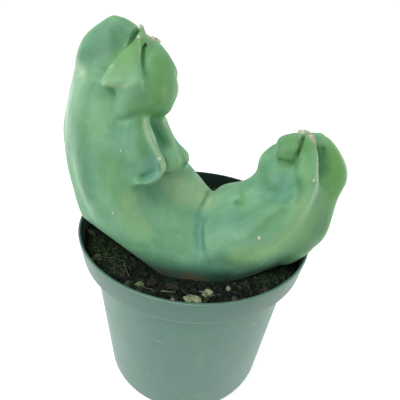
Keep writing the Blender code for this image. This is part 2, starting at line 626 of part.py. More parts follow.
def soil(material, cactus, loose):
    top = POT_HEIGHT - SOIL_DEPTH
    collar = POT_HEIGHT - COLLAR_HEIGHT
    lean = (RIM_RADIUS - COLLAR_FOOT_RADIUS) / COLLAR_HEIGHT
    edge = COLLAR_FOOT_RADIUS - WALL - GAP + lean * (top - collar - WALL)
    bm = bmesh.new()
    turns = [math.tau * k / SOIL_SIDES for k in range(SOIL_SIDES)]
    loops = []
    inset = WALL + GAP
    sides = [(BASE_RADIUS - inset - 1.4, FLOOR + GAP), (BASE_RADIUS - inset, FLOOR + GAP + 1.4),
             (WALL_TOP_RADIUS - inset, collar + inset - 0.4), (COLLAR_FOOT_RADIUS - inset, collar + inset)]
    for radius, height in sides:
        ring = [Vector((radius * math.cos(a), radius * math.sin(a), height)) for a in turns]
        loops.append([bm.verts.new(point * MM) for point in ring])
    for ring in range(SOIL_RINGS):
        radius = edge * (1 - ring / SOIL_RINGS)
        loop = []
        for a in turns:
            x, y = radius * math.cos(a), radius * math.sin(a)
            fall = 0.8 if ring == 0 else 0
            loop.append(bm.verts.new((x * MM, y * MM, (top + relief(x, y) * (ring > 0) - fall) * MM)))
        loops.append(loop)
    for first, second in zip(loops, loops[1:]):
        for i in range(SOIL_SIDES):
            j = (i + 1) % SOIL_SIDES
            bm.faces.new((first[i], first[j], second[j], second[i]))
    bm.faces.new(loops[0])
    middle = bm.verts.new((0, 0, (top + relief(0, 0)) * MM))
    for i in range(SOIL_SIDES):
        bm.faces.new((loops[-1][i], loops[-1][(i + 1) % SOIL_SIDES], middle))
    obj = from_bmesh("soil", bm, material)

    dice = random.Random(7)
    placed = []
    keep_off = [(Vector(row[0][:2]), max(row[1][:2]) + 1.2) for row in LOOSE.values()]
    bm = bmesh.new()
    while len(placed) < CHIPS:
        radius = (edge - EDGE_ROOM) * math.sqrt(dice.random())
        turn = math.tau * dice.random()
        here = Vector((radius * math.cos(turn), radius * math.sin(turn)))
        size = dice.uniform(1.1, 2.4)
        if any((here - other).length < size + reach + CHIP_ROOM for other, reach in placed + keep_off):
            continue
        placed.append((here, size))
        height = top + relief(*here) + 0.15 * size
        cloud = []
        around = Matrix.Rotation(math.tau * dice.random(), 3, "Z")
        spin = around @ Matrix.Rotation(dice.uniform(-0.5, 0.5), 3, "Y")
        for _ in range(CHIP_CORNERS):
            way = Vector((dice.gauss(0, 1), dice.gauss(0, 1), dice.gauss(0, 1))).normalized()
            way = spin @ Vector((way.x * size, way.y * size * 0.6, way.z * size * 0.6))
            cloud.append(bm.verts.new((Vector((here.x, here.y, height)) + way) * MM))
        stretched(bm, cloud)
    boolean(obj, helper(from_bmesh("chips", bm)), "UNION")

    seat = grown(cactus, "seat", SEAT_GAP)
    bm = bmesh.new()
    bm.from_mesh(seat.data)
    level = (top + SEAT_HEIGHT) * MM
    cut = bmesh.ops.bisect_plane(bm, geom=bm.verts[:] + bm.edges[:] + bm.faces[:], plane_co=(0, 0, level),
                                 plane_no=(0, 0, 1), clear_outer=True)
    rim = [item for item in cut["geom_cut"] if isinstance(item, bmesh.types.BMEdge)]
    bmesh.ops.holes_fill(bm, edges=rim)
    bmesh.ops.recalc_face_normals(bm, faces=bm.faces)
    bm.to_mesh(seat.data)
    bm.free()
    boolean(obj, helper(seat), "DIFFERENCE")
    for piece in loose:
        boolean(obj, helper(grown(piece, piece.name + "_seat", GAP)), "DIFFERENCE")
    return without_scraps(applied(obj))


def without_scraps(obj):
    """Keeps the body with the most faces and drops what the cuts left loose."""
    bm = bmesh.new()
    bm.from_mesh(obj.data)
    left = set(bm.faces)
    bodies = []
    while left:
        front = [left.pop()]
        body = set(front)
        while front:
            near = {face for edge in front.pop().edges for face in edge.link_faces} & left
            left -= near
            body |= near
            front.extend(near)
        bodies.append(body)
    bodies.sort(key=len)
    scraps = [face for body in bodies[:-1] for face in body]
    bmesh.ops.delete(bm, geom=scraps, context="FACES")
    bm.to_mesh(obj.data)
    bm.free()
    return obj


def grown(obj, name, margin):
    """A copy with each point moved outwards."""
    mesh = obj.data.copy()
    move(mesh, points_of(mesh) + normals_of(mesh) * margin * MM)
    return add(name, mesh)


def material_of(name, colour, roughness):
    made = bpy.data.materials.new(name)
    made.use_nodes = True
    surface = made.node_tree.nodes["Principled BSDF"]
    surface.inputs["Base Color"].default_value = (*colour, 1)
    surface.inputs["Roughness"].default_value = roughness
    return made


def main():
    for obj in list(bpy.data.objects):
        bpy.data.objects.remove(obj)
    skin = material_of("cactus_skin", (0.16, 0.34, 0.19), 0.5)
    plastic = material_of("pot_plastic", (0.07, 0.16, 0.14), 0.45)
    earth = material_of("soil", (0.03, 0.028, 0.02), 0.95)
    minerals = {
        "pale": material_of("pale_mineral", (0.6, 0.56, 0.46), 0.8),
        "green": material_of("green_mineral", (0.25, 0.29, 0.2), 0.8),
    }
    bark = material_of("bark", (0.12, 0.07, 0.04), 0.9)
    cactus = plant(skin)
    pot(plastic)
    loose = []
    for i, (name, (centre, radii, turn, rough, detail)) in enumerate(LOOSE.items()):
        bm = bmesh.new()
        pebble(bm, centre, radii, turn, 3.7 * i, rough, detail)
        loose.append(from_bmesh(name, bm, minerals.get(MINERALS.get(name), bark)))
    soil(earth, cactus, loose)


main()
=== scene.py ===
import math
import random

import bmesh
import bpy
import numpy as np
from mathutils import Matrix, Vector, noise
from mathutils.bvhtree import BVHTree


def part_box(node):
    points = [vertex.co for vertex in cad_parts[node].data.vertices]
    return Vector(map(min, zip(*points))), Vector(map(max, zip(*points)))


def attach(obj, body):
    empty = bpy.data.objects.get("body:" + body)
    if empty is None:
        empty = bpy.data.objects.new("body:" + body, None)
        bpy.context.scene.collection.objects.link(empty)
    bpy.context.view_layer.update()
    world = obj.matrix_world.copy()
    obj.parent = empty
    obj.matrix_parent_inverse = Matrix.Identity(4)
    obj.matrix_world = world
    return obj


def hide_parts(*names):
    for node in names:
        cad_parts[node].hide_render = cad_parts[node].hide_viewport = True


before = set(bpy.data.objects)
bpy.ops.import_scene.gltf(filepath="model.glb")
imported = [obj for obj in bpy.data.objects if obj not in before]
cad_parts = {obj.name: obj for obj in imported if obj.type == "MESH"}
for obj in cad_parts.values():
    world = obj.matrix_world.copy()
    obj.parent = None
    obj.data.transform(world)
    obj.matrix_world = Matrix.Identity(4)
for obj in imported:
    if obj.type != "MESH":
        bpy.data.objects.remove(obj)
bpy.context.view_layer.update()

# Potted totem pole cactus. The plant's tables are in millimetres from the centre of the pot's rim, as in the
# CAD source; everything else is in metres in the CAD frame, with the origin at the centre of the pot's foot.

MM = 0.001
POT_LOW, POT_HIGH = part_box("pot")
RIM_HEIGHT = POT_HIGH.z
RIM_RADIUS = POT_HIGH.x
LIFT = Matrix.Translation((0, 0, RIM_HEIGHT))

# Camera: a phone held close, looking down a little and slightly tilted.
CAMERA_PLACE = (0.00125, -0.13957, RIM_HEIGHT + 0.09266)
CAMERA_DOWN = 30.32
CAMERA_ROLL = 5.3
CAMERA_LENS = 32.02

# Pot
COLLAR_HEIGHT = 0.01125
COLLAR_FOOT_RADIUS = 0.0511
WALL_TOP_RADIUS = 0.0467
BASE_RADIUS = 0.04115
WALL = 0.0012
FLOOR = 0.0018
POT_STEPS = 240

# Soil
SOIL_TOP = RIM_HEIGHT - 0.0065
SOIL_GAP = 0.0003

# Plant
VOXEL = 0.62 * MM


def colour(red, green, blue):
    """A linear colour from the 0 to 255 values that a screen shows."""
    def linear(value):
        share = value / 255
        return share / 12.92 if share <= 0.04045 else ((share + 0.055) / 1.055) ** 2.4
    return (linear(red), linear(green), linear(blue), 1.0)


class Value:
    """A shader socket that takes part in sums."""

    def __init__(self, finish, socket):
        self.finish = finish
        self.socket = socket

    def sum(self, operation, first, second):
        return self.finish.node("Math", {0: first, 1: second}, operation=operation)

    def __add__(self, other):
        return self.sum("ADD", self, other)

    def __radd__(self, other):
        return self.sum("ADD", other, self)

    def __sub__(self, other):
        return self.sum("SUBTRACT", self, other)

    def __rsub__(self, other):
        return self.sum("SUBTRACT", other, self)

    def __mul__(self, other):
        return self.sum("MULTIPLY", self, other)

    def __rmul__(self, other):
        return self.sum("MULTIPLY", other, self)

    def __pow__(self, other):
        return self.sum("POWER", self, other)


class Finish:
    """A material, written as expressions."""

    def __init__(self, name, roughness=0.5, **fixed):
        self.material = bpy.data.materials.new(name)
        self.material.use_nodes = True
        self.tree = self.material.node_tree
        self.shader = self.tree.nodes["Principled BSDF"]
        self.shader.inputs["Roughness"].default_value = roughness
        for socket, value in fixed.items():
            self.shader.inputs[socket.replace("_", " ")].default_value = value
        self.place = self.node("TexCoord", {}, output="Object")

    def node(self, kind, inputs, output=0, stops=None, **settings):
        made = self.tree.nodes.new("ShaderNode" + kind)
        for name, value in settings.items():
            setattr(made, name, value)
        if stops:
            ramp = made.color_ramp
            while len(ramp.elements) < len(stops):
                ramp.elements.new(1.0)
            for element, (at, tint) in zip(ramp.elements, stops):
                element.position = at
                element.color = tint
        for name, value in inputs.items():
            if isinstance(value, Value):
                self.tree.links.new(value.socket, made.inputs[name])
            else:
                made.inputs[name].default_value = value
        return Value(self, made.outputs[output])

    def noise(self, scale, detail=3.0, roughness=0.55, distortion=0.0, place=None):
        inputs = {"Vector": place or self.place, "Scale": scale, "Detail": detail, "Roughness": roughness,
                  "Distortion": distortion}
        return self.node("TexNoise", inputs)

    def stretch(self, scale):
        """The place, squeezed or stretched along each axis."""
        return self.node("Mapping", {"Vector": self.place, "Scale": scale})

    def span(self, value, low, high, to_low=0.0, to_high=1.0):
        inputs = {"Value": value, "From Min": low, "From Max": high, "To Min": to_low, "To Max": to_high}
        return self.node("MapRange", inputs, clamp=True)

    def blend(self, share, first, second, how="MIX"):
        return self.node("Mix", {0: share, 6: first, 7: second}, output=2, data_type="RGBA", blend_type=how)

    def read(self, name):
        return self.node("Attribute", {}, output="Fac", attribute_name=name)

    def bump(self, height, distance, strength=1.0):
        inputs = {"Height": height, "Distance": distance, "Strength": strength}
        self.set("Normal", self.node("Bump", inputs, output="Normal"))

    def set(self, socket, value):
        self.tree.links.new(value.socket, self.shader.inputs[socket])


def catmull(values, where):
    """A smooth curve through equally spaced rows of values, read at a fractional index."""
    last = len(values) - 1
    where = min(max(where, 0.0), float(last))
    first = min(int(where), last - 1)
    part = where - first
    p0 = values[max(first - 1, 0)]
    p1 = values[first]
    p2 = values[first + 1]
    p3 = values[min(first + 2, last)]
    return [
        0.5 * (2 * b + (c - a) * part + (2 * a - 5 * b + 4 * c - d) * part**2 + (3 * b - a - 3 * c + d) * part**3)
        for a, b, c, d in zip(p0, p1, p2, p3)
    ]


def along(stations, where):
    """Rows that start with their place along the arm: the other values, read at that place."""
    places = [row[0] for row in stations]
    index = max([i for i, place in enumerate(places[:-1]) if place <= where], default=0)
    part = (where - places[index]) / (places[index + 1] - places[index])
    return catmull([row[1:] for row in stations], index + part)


class Arm:
    """A bent stem: its centre line with core radii, and the directions round it."""

    def __init__(self, line):
        self.line = line
        self.samples = [self.place(i / 20)[0] for i in range(20 * (len(line) - 1) + 1)]

    def place(self, where):
        x, y, z, radius = catmull(self.line, where)
        return Vector((x, y, z)), radius

    def frame(self, where):
        """The centre, and the unit directions to the front and across it."""
        centre, _ = self.place(where)
        tangent = (self.place(where + 0.05)[0] - self.place(where - 0.05)[0]).normalized()
        front = Vector((0, -1, 0))
        front = (front - tangent * front.dot(tangent)).normalized()
        return centre, front, tangent.cross(front)

    def nearest(self, point):
        return min(self.samples, key=lambda sample: (sample - point).length)


LEFT = Arm([
    (10, -11, -6, 19),
    (-9, -10, -2, 19.5),
    (-25, -8, 8, 19),
    (-33.5, -6, 24, 18),
    (-35, -5.5, 41, 16.5),
    (-32.5, -6, 55, 12),
    (-28.5, -7, 67, 7),
    (-24, -8, 77, 3),
])

RIGHT = Arm([
    (0, -11, -6, 19),
    (16, -11, 0, 18.5),
    (29.5, -11, 9, 17.5),
    (38.5, -10, 20, 14),
    (41, -9, 31, 10),
    (40.5, -8.5, 41, 5),
    (39, -8, 45.8, 1.8),
])

LEFT_RIBS = [
    [(0.5, -88, 21, 12), (1.4, -88, 22.5, 12), (2, -88, 25, 11), (2.5, -88, 23, 10), (3, -88, 21, 9),
     (4, -92, 20, 8), (4.8, -95, 18, 7)],
    [(0.3, -5, 22.5, 15), (1, -6, 22.5, 14), (2, -8, 21.5, 13), (3, -10, 20.5, 12), (4, -14, 20, 12),
     (4.6, -20, 18, 10), (5.2, -26, 11, 8)],
    [(0.5, 150, 20.5, 12), (3, 150, 20.5, 9), (4, 148, 19.5, 7), (5, 140, 19, 5), (6, 135, 15, 4), (6.8, 130, 8, 3)],
    [(0.5, 205, 20.5, 12), (3, 208, 20.5, 9), (4, 210, 19.5, 7), (5, 212, 19, 5), (6, 215, 15, 4), (6.8, 215, 8, 3)],
]

RIGHT_RIBS = [
    [(0.3, 0, 22.5, 14), (1, -2, 22, 13), (2, -6, 20, 12), (2.8, -8, 17, 9)],
    [(0.5, -80, 20, 12), (1.6, -75, 20, 11), (2.6, -75, 19, 9), (3.2, -80, 17, 7)],
    [(0.5, 150, 20, 12), (3, 150, 18.5, 7), (4, 145, 16, 5), (5, 140, 10, 4), (5.6, 135, 6, 3)],
    [(0.5, 210, 20, 12), (3, 210, 18.5, 7), (4, 212, 17, 5), (5, 215, 12, 4), (5.6, 215, 7, 3)],
]

LEFT_LOBES = {
    "shoulder": [(-55.4, -6, 36, 8, 10), (-55, -6, 44, 7, 10), (-51.3, -6, 57, 6, 10), (-48, -6, 67, 5, 10),
                 (-46.2, -6, 73, 4.5, 9), (-43, -6, 77.5, 4.5, 8), (-36.5, -6, 82, 4, 6), (-33.8, -5.5, 82.8, 3.6, 5),
                 (-29.7, -5.5, 81.5, 3.2, 4), (-25.5, -5.5, 79.8, 2.5, 3)],
    "shelf": [(-48.5, -8, 61, 6, 8), (-44, -12.5, 64, 5, 8), (-38.5, -16.8, 67, 4, 7), (-34, -18.6, 68.6, 3.4, 7),
              (-30, -19, 70, 2.6, 6)],
    "face": [(-28, -22, 57, 6, 9), (-28.5, -25, 50, 8, 10), (-28.5, -26.5, 42, 9, 11), (-28, -27.8, 34, 10, 12),
             (-27, -28.3, 26, 11, 13), (-23, -27.5, 17, 12, 14), (-16, -27, 9, 12, 14)],
    "flange": [(-21, -18, 54.5, 1.7, 5), (-20, -20.3, 50.5, 1.7, 5), (-18.8, -21, 47.5, 1.7, 5),
               (-16.8, -21.5, 44, 1.7, 5), (-14.6, -22, 41, 1.7, 5), (-12.9, -22.4, 38, 1.8, 5),
               (-12.3, -23, 35.2, 1.9, 5), (-13.3, -24.6, 32.8, 1.9, 4.5), (-15.8, -26.5, 31.4, 1.8, 4),
               (-19, -28.2, 31, 1.7, 4), (-22.5, -28.8, 32, 1.6, 3)],
    "neck": [(-15.8, -11, 54, 4.5, 7), (-14, -11.5, 49, 4.5, 7), (-11.8, -12.3, 44.5, 4.5, 7), (-9.4, -13.5, 40, 5, 8),
             (-7.6, -14, 36.5, 5, 8), (-7.2, -13.5, 33, 5, 8)],
    "nose": [(-14, -8, 50.5, 3, 6), (-12.4, -8, 46, 3.2, 6), (-10.4, -8, 42.3, 3.5, 6), (-8, -8.5, 39.8, 4, 6),
             (-5.2, -9, 37.6, 4.2, 6), (-3.8, -9, 35.4, 4.2, 6), (-4.3, -9, 32.5, 4.2, 6)],
    "back tip": [(-24.5, 4, 68, 4, 5), (-25.5, 1, 76, 2.4, 3.5), (-24.8, -2, 80.2, 1.4, 2)],
    "side tip": [(-17.5, 3, 66, 4, 5), (-19.5, 1.5, 73, 2.4, 3.5), (-21.3, -1, 76.8, 1.4, 2)],
    "saddle": [(-9, -7, 33, 9, 11), (-3, -6, 29.5, 9, 11), (0, -5, 26, 9, 11), (3, -5, 22.5, 9, 11), (5.5, -4, 19, 9, 11)],
}

RIGHT_LOBES = {
    "back tip": [(38, 1, 40, 4, 5), (38, -1, 45, 2.4, 3.5), (38.5, -5, 47.6, 1.4, 2)],
    "shoulder": [(7.5, -4, 20, 8, 11), (11, -5, 23, 8, 10), (17, -7, 25.5, 7, 10), (20.5, -8, 28.2, 6, 9),
                 (22.8, -9, 32, 5, 8), (22.4, -9, 36, 4.5, 7), (23.8, -9, 39.6, 4.5, 6), (28, -9, 43, 4, 5)],
    "sweep": [(41.8, -24, 38.5, 2.4, 6), (39.9, -26.5, 33.5, 4, 7), (34.1, -28.5, 26.5, 6, 9), (28.8, -29.5, 21, 8, 10),
              (20, -30.3, 14, 10, 12), (11, -31, 9.5, 12, 14), (4, -31, 7.5, 12, 14)],
    "cheek": [(44.8, -7, 47.6, 1.6, 3), (46.2, -8.2, 49, 2.2, 5), (48, -8.5, 48.8, 4, 6), (52.5, -8.5, 45.2, 4.5, 7),
              (57, -8.5, 39.8, 5, 8), (59.2, -9, 35, 5.5, 8), (59.3, -9.5, 30.5, 6, 9), (57.5, -10.5, 25.5, 7, 9),
              (57, -11.5, 18, 8, 10), (56.3, -13, 11, 9, 11), (54, -15, 5, 9, 11), (49, -16, 0.5, 10, 12)],
}

# Lobes of the crowns with flat faces: the balls that a skin is stretched over. Rows: a middle and a radius.
LUMPS = {
    "left beak": [(-23.4, -12.4, 77.1, 0.9), (-25.6, -14.2, 75.3, 1.2), (-28, -17.2, 72.4, 1.4), (-30.4, -20.4, 69, 1.5),
                  (-32.4, -24.6, 65, 1.6), (-22.3, -22.6, 66.2, 2), (-22.6, -20, 68.6, 1.6), (-22.9, -16.6, 72.2, 1.3),
                  (-28, -12, 66, 5)],
    "left pillow": [(-27.2, -22.6, 63.6, 2.6), (-23, -22.6, 65.6, 2.6), (-27.4, -22.2, 57, 2.6), (-22.8, -21.3, 57.6, 2.8),
                    (-27, -12, 60, 7)],
    "left join": [(-21, -20, 65, 2.4), (-21, -19.6, 57.4, 2.6), (-17.5, -16.8, 62, 4), (-24, -20, 61, 3)],
    "left cheek": [(-20.6, -9.5, 73.8, 2.2), (-18, -8.4, 74.6, 1.9), (-16.3, -10, 71.3, 3.2), (-14.6, -11, 66.5, 4.7),
                   (-14.2, -11.5, 61, 4.8), (-15.7, -12.3, 56.4, 4.6), (-18.5, -14.2, 66, 5.4), (-19.3, -15.9, 59.5, 5.4),
                   (-19, -13, 71, 3.6), (-21.4, -8, 74, 2), (-24, -9, 60, 7)],
    "left temple": [(-33.8, -8.5, 79, 3), (-40.5, -8.5, 74.8, 3), (-44, -9, 68, 3.4), (-38.5, -15, 66.4, 3),
                    (-32, -15.6, 69.4, 2.4), (-29, -10.5, 75.5, 2)],
    "left back tip": [(-24.4, -3, 79.7, 1.2), (-24.8, -4.5, 77, 1.9), (-25.5, -5, 72, 3)],
    "left side tip": [(-23, -5, 75, 1.6), (-20.5, -3, 75.9, 1.2), (-18.6, -3.2, 75.3, 1.2), (-19.5, -5, 71, 3)],
    "left face": [(-43, -12, 58, 5.5), (-36.5, -16.5, 62.5, 5), (-31, -18, 61, 5), (-30.5, -19, 53, 6),
                  (-38.5, -16.5, 52, 7), (-44.5, -12.5, 50, 6.5), (-45, -12, 38, 7.5), (-36, -18, 40, 9), (-33, -8, 50, 8)],
    "left web": [(-22.5, -18.2, 52, 3.5), (-20.6, -18.3, 45, 4), (-18, -19, 40, 3.5), (-16.8, -20.2, 36.5, 3),
                 (-23, -21, 36, 5), (-26, -21.5, 44, 5), (-26, -19.5, 52, 5)],
    "right knob": [(30.6, -13.6, 46.4, 3.4), (34.6, -12, 48.2, 2.5), (30, -16.4, 43.9, 3.2), (32.6, -15.8, 45.8, 3.2),
                   (31.2, -17.6, 42.2, 2.3), (32.8, -16.9, 42.8, 2), (36, -7, 40, 4)],
    "right horn": [(40.4, -10.6, 48.3, 0.9), (41.8, -12.6, 46.5, 0.9), (41.8, -17.6, 44, 1), (41.6, -21, 41, 1.2),
                   (40.9, -23.6, 37.6, 1.7), (39.4, -13, 46.6, 1), (37.6, -16.2, 44.4, 1.1), (36.6, -19.2, 40.4, 1.5),
                   (37, -21.4, 37, 1.8), (38.6, -23.6, 34, 2.4), (41, -10, 38, 5)],
    "right web": [(32.5, -13.6, 38.5, 4), (31.4, -14.8, 33, 5.6), (35, -17.4, 34.5, 4), (33, -9, 30, 8)],
    "right flank": [(44.8, -17.2, 32, 2), (38, -24, 25, 3), (36.5, -24.6, 21, 4), (33.5, -25, 14, 5),
                    (52.6, -13.2, 24, 3.4), (51.5, -13.5, 20, 4.5), (48.5, -15, 11, 6),
                    (42.7, -18.2, 5.6, 7.2), (37.5, -20, 3, 7.4), (42, -10, 18, 8)],
}

# Folds between lobes. Rows: a point on the skin, half the fold's width there and its depth.
LEFT_FOLDS = [
    [(-24, -9.5, 79, 0.5, 2), (-25.6, -12.2, 77.3, 0.7, 3), (-28.6, -16, 74.4, 0.7, 3), (-31.5, -19.4, 71.4, 0.3, 1)],
    [(-21.9, -11.4, 76.2, 0.4, 1.4), (-21.8, -13.4, 75.2, 0.7, 4), (-21.4, -16.5, 72.5, 1, 4.5), (-21.2, -18.5, 69.5, 0.4, 1.5)],
]
RIGHT_FOLDS = [
    [(38.2, -9.5, 48, 0.3, 1), (37.6, -11.5, 48, 0.5, 2.4), (36.2, -15, 45.8, 0.55, 4), (35.2, -17.4, 43.6, 0.5, 3),
     (34.9, -18.4, 42.2, 0.3, 1)],
]

# Where the skin is eased less: a centre and a radius round it.
CRISP = [
    ((-25, -15, 72), 16),
    ((-14, -19, 39), 11),
    ((38, -13, 46), 11),
]

# Where the stem is cut back over the soil on the left: a point of the plane and its direction into the stem.
PARED = ((-35.1, -25.1, 5.9), (0.502, 0.618, 0.605))

# Soft dents and raised lines, pressed into the skin and out of it. Rows: points by the skin, half the
# width, the height (below 0 for a dent), and whether its bottom or crest is sharp.
STROKES = [
    ([(-29.6, -24.2, 53.6), (-26.4, -24, 53.4), (-23, -23, 55)], 1.6, -1.0, True),
    ([(-12.4, -12, 68), (-12, -10, 62), (-12, -12, 56)], 2, -0.7, False),
    ([(-29.9, -23, 63), (-30.2, -24, 58), (-29.8, -24.2, 54)], 1.8, -0.7, False),
    ([(-20.6, -20.5, 53), (-20, -21.5, 50.5), (-18.8, -22, 47.5), (-16.8, -22.6, 44), (-14.6, -23.2, 41), (-12.9, -23.6, 38),
      (-12.3, -24.4, 35.2), (-13.3, -26, 32.8), (-15.8, -28, 31.4), (-19, -29, 31)], 1.6, 0.6, True),
    ([(-19, -16, 51), (-17, -16, 47), (-14, -17, 43), (-11.5, -17, 39.5)], 2.6, -1.4, False),
    ([(-11, -22, 34.5), (-12, -24, 32), (-15, -26, 30), (-19, -27.5, 29), (-22, -27.5, 29)], 2.6, -2.2, True),
    ([(43.2, -9, 49), (44, -11, 47), (44.6, -14, 43.2), (45, -17, 39.5)], 1.7, -1.7, True),
    ([(-7, -12, 33), (-5.5, -12, 32), (-3.5, -11, 32)], 2.2, -1.2, True),
    ([(44.8, -12, 46.2), (45.9, -12, 42.7), (46.6, -13, 39), (47.4, -15, 33.8)], 3.6, -2, False),
    ([(28, -18.5, 41.2), (30.4, -19.5, 40.2), (33.6, -19.6, 41)], 1.6, -1.8, True),
    ([(31, -20, 38), (31.5, -23, 32), (31, -25, 27)], 6, -0.8, False),
    ([(5.9, -7.5, 20.8), (4.8, -11, 20.3), (4.2, -13.3, 18.6), (2.4, -15.6, 15.9)], 1.8, -1.8, True),
    ([(2.8, -15, 16.5), (2.2, -20.3, 12.7), (2.7, -26.5, 8.3), (5, -31.8, 2.9)], 3, -0.9, False),
    ([(16.1, -13.9, 21.7), (16.2, -17.1, 19.8)], 1.6, -0.7, False),
    ([(32.5, -27.6, 26.3), (29.4, -28.2, 23.2), (25.6, -29.1, 18.9)], 3, -0.6, False),
]

# Spine cushions: a point at or over the skin, and a radius.
CUSHIONS = [
    ((-23.6, -12.5, 77.6), 0.9),
    ((-30.9, -28, 18.2), 0.7),
    ((-27.5, -26, 43), 0.5),
    ((-14.6, -22.9, 39.8), 0.9),
    ((40.6, -10.6, 49.4), 1.2),
    ((37.2, -8.4, 49.8), 1.9),
    ((39, -8.2, 49.6), 1.6),
    ((40.9, -24.5, 37.6), 0.8),
    ((24.9, -28.5, 14.4), 0.9),
    ((-24.6, -3.4, 80.8), 1.1),
    ((-22, -3.6, 77.4), 1.2),
    ((-20, -2.4, 77.2), 1.4),
    ((-18.6, -2.6, 76.4), 1.2),
]


def new_object(name, mesh, material=None):
    obj = bpy.data.objects.new(name, mesh)
    bpy.context.scene.collection.objects.link(obj)
    if material:
        mesh.materials.clear()
        mesh.materials.append(material)
    return obj


def finished(name, bm, material=None, smooth=True):
    """The object for a finished bmesh."""
    bmesh.ops.recalc_face_normals(bm, faces=bm.faces)
    mesh = bpy.data.meshes.new(name)
    bm.to_mesh(mesh)
    bm.free()
    for face in mesh.polygons:
        face.use_smooth = smooth
    return new_object(name, mesh, material)


def applied(obj):
    """The object with its modifiers made part of its mesh."""
    graph = bpy.context.evaluated_depsgraph_get()
    mesh = bpy.data.meshes.new_from_object(obj.evaluated_get(graph))
    obj.modifiers.clear()
    obj.data = mesh
    return obj


def loft(whole, sections):
    """Adds a closed skin through rings of points."""
    bm = bmesh.new()
    loops = []
    for points in sections:
        ring = [bm.verts.new(point * MM) for point in points]
        loops.append([bm.edges.new(pair) for pair in zip(ring, ring[1:] + ring[:1])])
    for lower, upper in zip(loops, loops[1:]):
        bmesh.ops.bridge_loops(bm, edges=lower + upper)
    bmesh.ops.holes_fill(bm, edges=loops[0] + loops[-1])
    bmesh.ops.recalc_face_normals(bm, faces=bm.faces)
    part = bpy.data.meshes.new("part")
    bm.to_mesh(part)
    bm.free()
    whole.from_mesh(part)
    bpy.data.meshes.remove(part)


def bar(crest, root, out, across, crest_radius, root_radius):
    """One section of a rib: a rounded crest and a rounded root, joined by straight flanks."""
    ring = []
    for k in range(9):
        turn = math.radians(-90 + 22.5 * k)
        ring.append(crest + out * crest_radius * math.cos(turn) + across * crest_radius * math.sin(turn))
    for k in range(6):
        turn = math.radians(108 + 28.8 * k)
        ring.append(root + out * root_radius * math.cos(turn) + across * root_radius * math.sin(turn))
    return ring


def rib(bm, arm, side, stations):
    """A rib of the trunk. Rows: place along the arm, angle from the front, reach and crest radius."""
    start, end = stations[0][0], stations[-1][0]
    steps = max(4, round((end - start) * 12))
    rings = []
    for i in range(steps + 1):
        where = start + (end - start) * i / steps
        angle, reach, crest = along(stations, where)
        centre, front, inner = arm.frame(where)
        turn = math.radians(angle) * side
        out = front * math.cos(turn) + inner * math.sin(turn)
        across = front.cross(inner).cross(out)
        middle = centre + out * max(reach - crest, 0.2)
        rings.append(bar(middle, centre, out, across, crest, max(5.0, crest)))
    loft(bm, rings)


def fin(bm, arm, crest):
    """A lobe. Rows: a point on its crest, the crest's radius and the radius of its root in the arm's core."""
    steps = (len(crest) - 1) * 5
    points = [catmull(crest, i / 5) for i in range(steps + 1)]
    rings = []
    for i, (x, y, z, radius, root) in enumerate(points):
        here = Vector((x, y, z))
        before, after = points[max(i - 1, 0)], points[min(i + 1, steps)]
        path = Vector(after[:3]) - Vector(before[:3])
        centre = arm.nearest(here)
        out = (here - centre).normalized()
        across = path.cross(out).normalized()
        rings.append(bar(here - out * radius, centre, out, across, radius, root))
    loft(bm, rings)


def fold(arm, path):
    """A wedge that cuts one fold."""
    steps = (len(path) - 1) * 4
    points = [catmull(path, i / 4) for i in range(steps + 1)]
    rings = []
    for i, (x, y, z, half, depth) in enumerate(points):
        here = Vector((x, y, z))
        before, after = points[max(i - 1, 0)], points[min(i + 1, steps)]
        line = Vector(after[:3]) - Vector(before[:3])
        out = (here - arm.nearest(here)).normalized()
        across = line.cross(out).normalized()
        rings.append([here + out * 4 + across * half * 2.4, here + across * half, here - out * depth,
                      here - across * half, here + out * 4 - across * half * 2.4])
    bm = bmesh.new()
    loft(bm, rings)
    bm.transform(LIFT)
    return finished("fold", bm)


def lump(whole, balls):
    """A lobe with flat faces and round corners, stretched over balls."""
    bm = bmesh.new()
    for x, y, z, radius in balls:
        at = Matrix.Translation(Vector((x, y, z)) * MM)
        bmesh.ops.create_icosphere(bm, subdivisions=2, radius=radius * MM, matrix=at)
    hull = bmesh.ops.convex_hull(bm, input=bm.verts)
    bmesh.ops.delete(bm, geom=list(set(hull["geom_interior"] + hull["geom_unused"])), context="VERTS")
    part = bpy.data.meshes.new("part")
    bm.to_mesh(part)
    bm.free()
    whole.from_mesh(part)
    bpy.data.meshes.remove(part)


def pressed(obj, strokes):
    """Presses dents into the skin and raises lines on it."""
    for path, half, height, sharp in strokes:
        points, _ = grid_of(obj.data)
        normals = np.empty(points.size, dtype=np.float32)
        obj.data.vertices.foreach_get("normal", normals)
        steps = (len(path) - 1) * 8
        places = []
        for i in range(steps + 1):
            here = (Vector(catmull(path, i / 8)) + Vector((0, 0, RIM_HEIGHT / MM))) * MM
            places.append(obj.closest_point_on_mesh(here)[1])
        gaps = np.linalg.norm(points[:, None] - np.array(places)[None], axis=2)
        nearest = gaps.argmin(axis=1)
        share = np.clip(1 - gaps.min(axis=1) / (half * MM), 0, 1)
        if not sharp:
            share = share**2 * (3 - 2 * share)
        share = share * np.clip(np.minimum(nearest, steps - nearest) / (0.25 * steps) + 0.15, 0, 1)
        points += share[:, None] * height * MM * normals.reshape(-1, 3)
        obj.data.vertices.foreach_set("co", points.ravel())
        obj.data.update()


def core(bm, arm):
    rings = []
    for i in range((len(arm.line) - 1) * 6 + 1):
        centre, front, inner = arm.frame(i / 6)
        radius = arm.place(i / 6)[1]
        turns = [math.tau * k / 24 for k in range(24)]
        rings.append([centre + (front * math.cos(a) + inner * math.sin(a)) * radius for a in turns])
    loft(bm, rings)


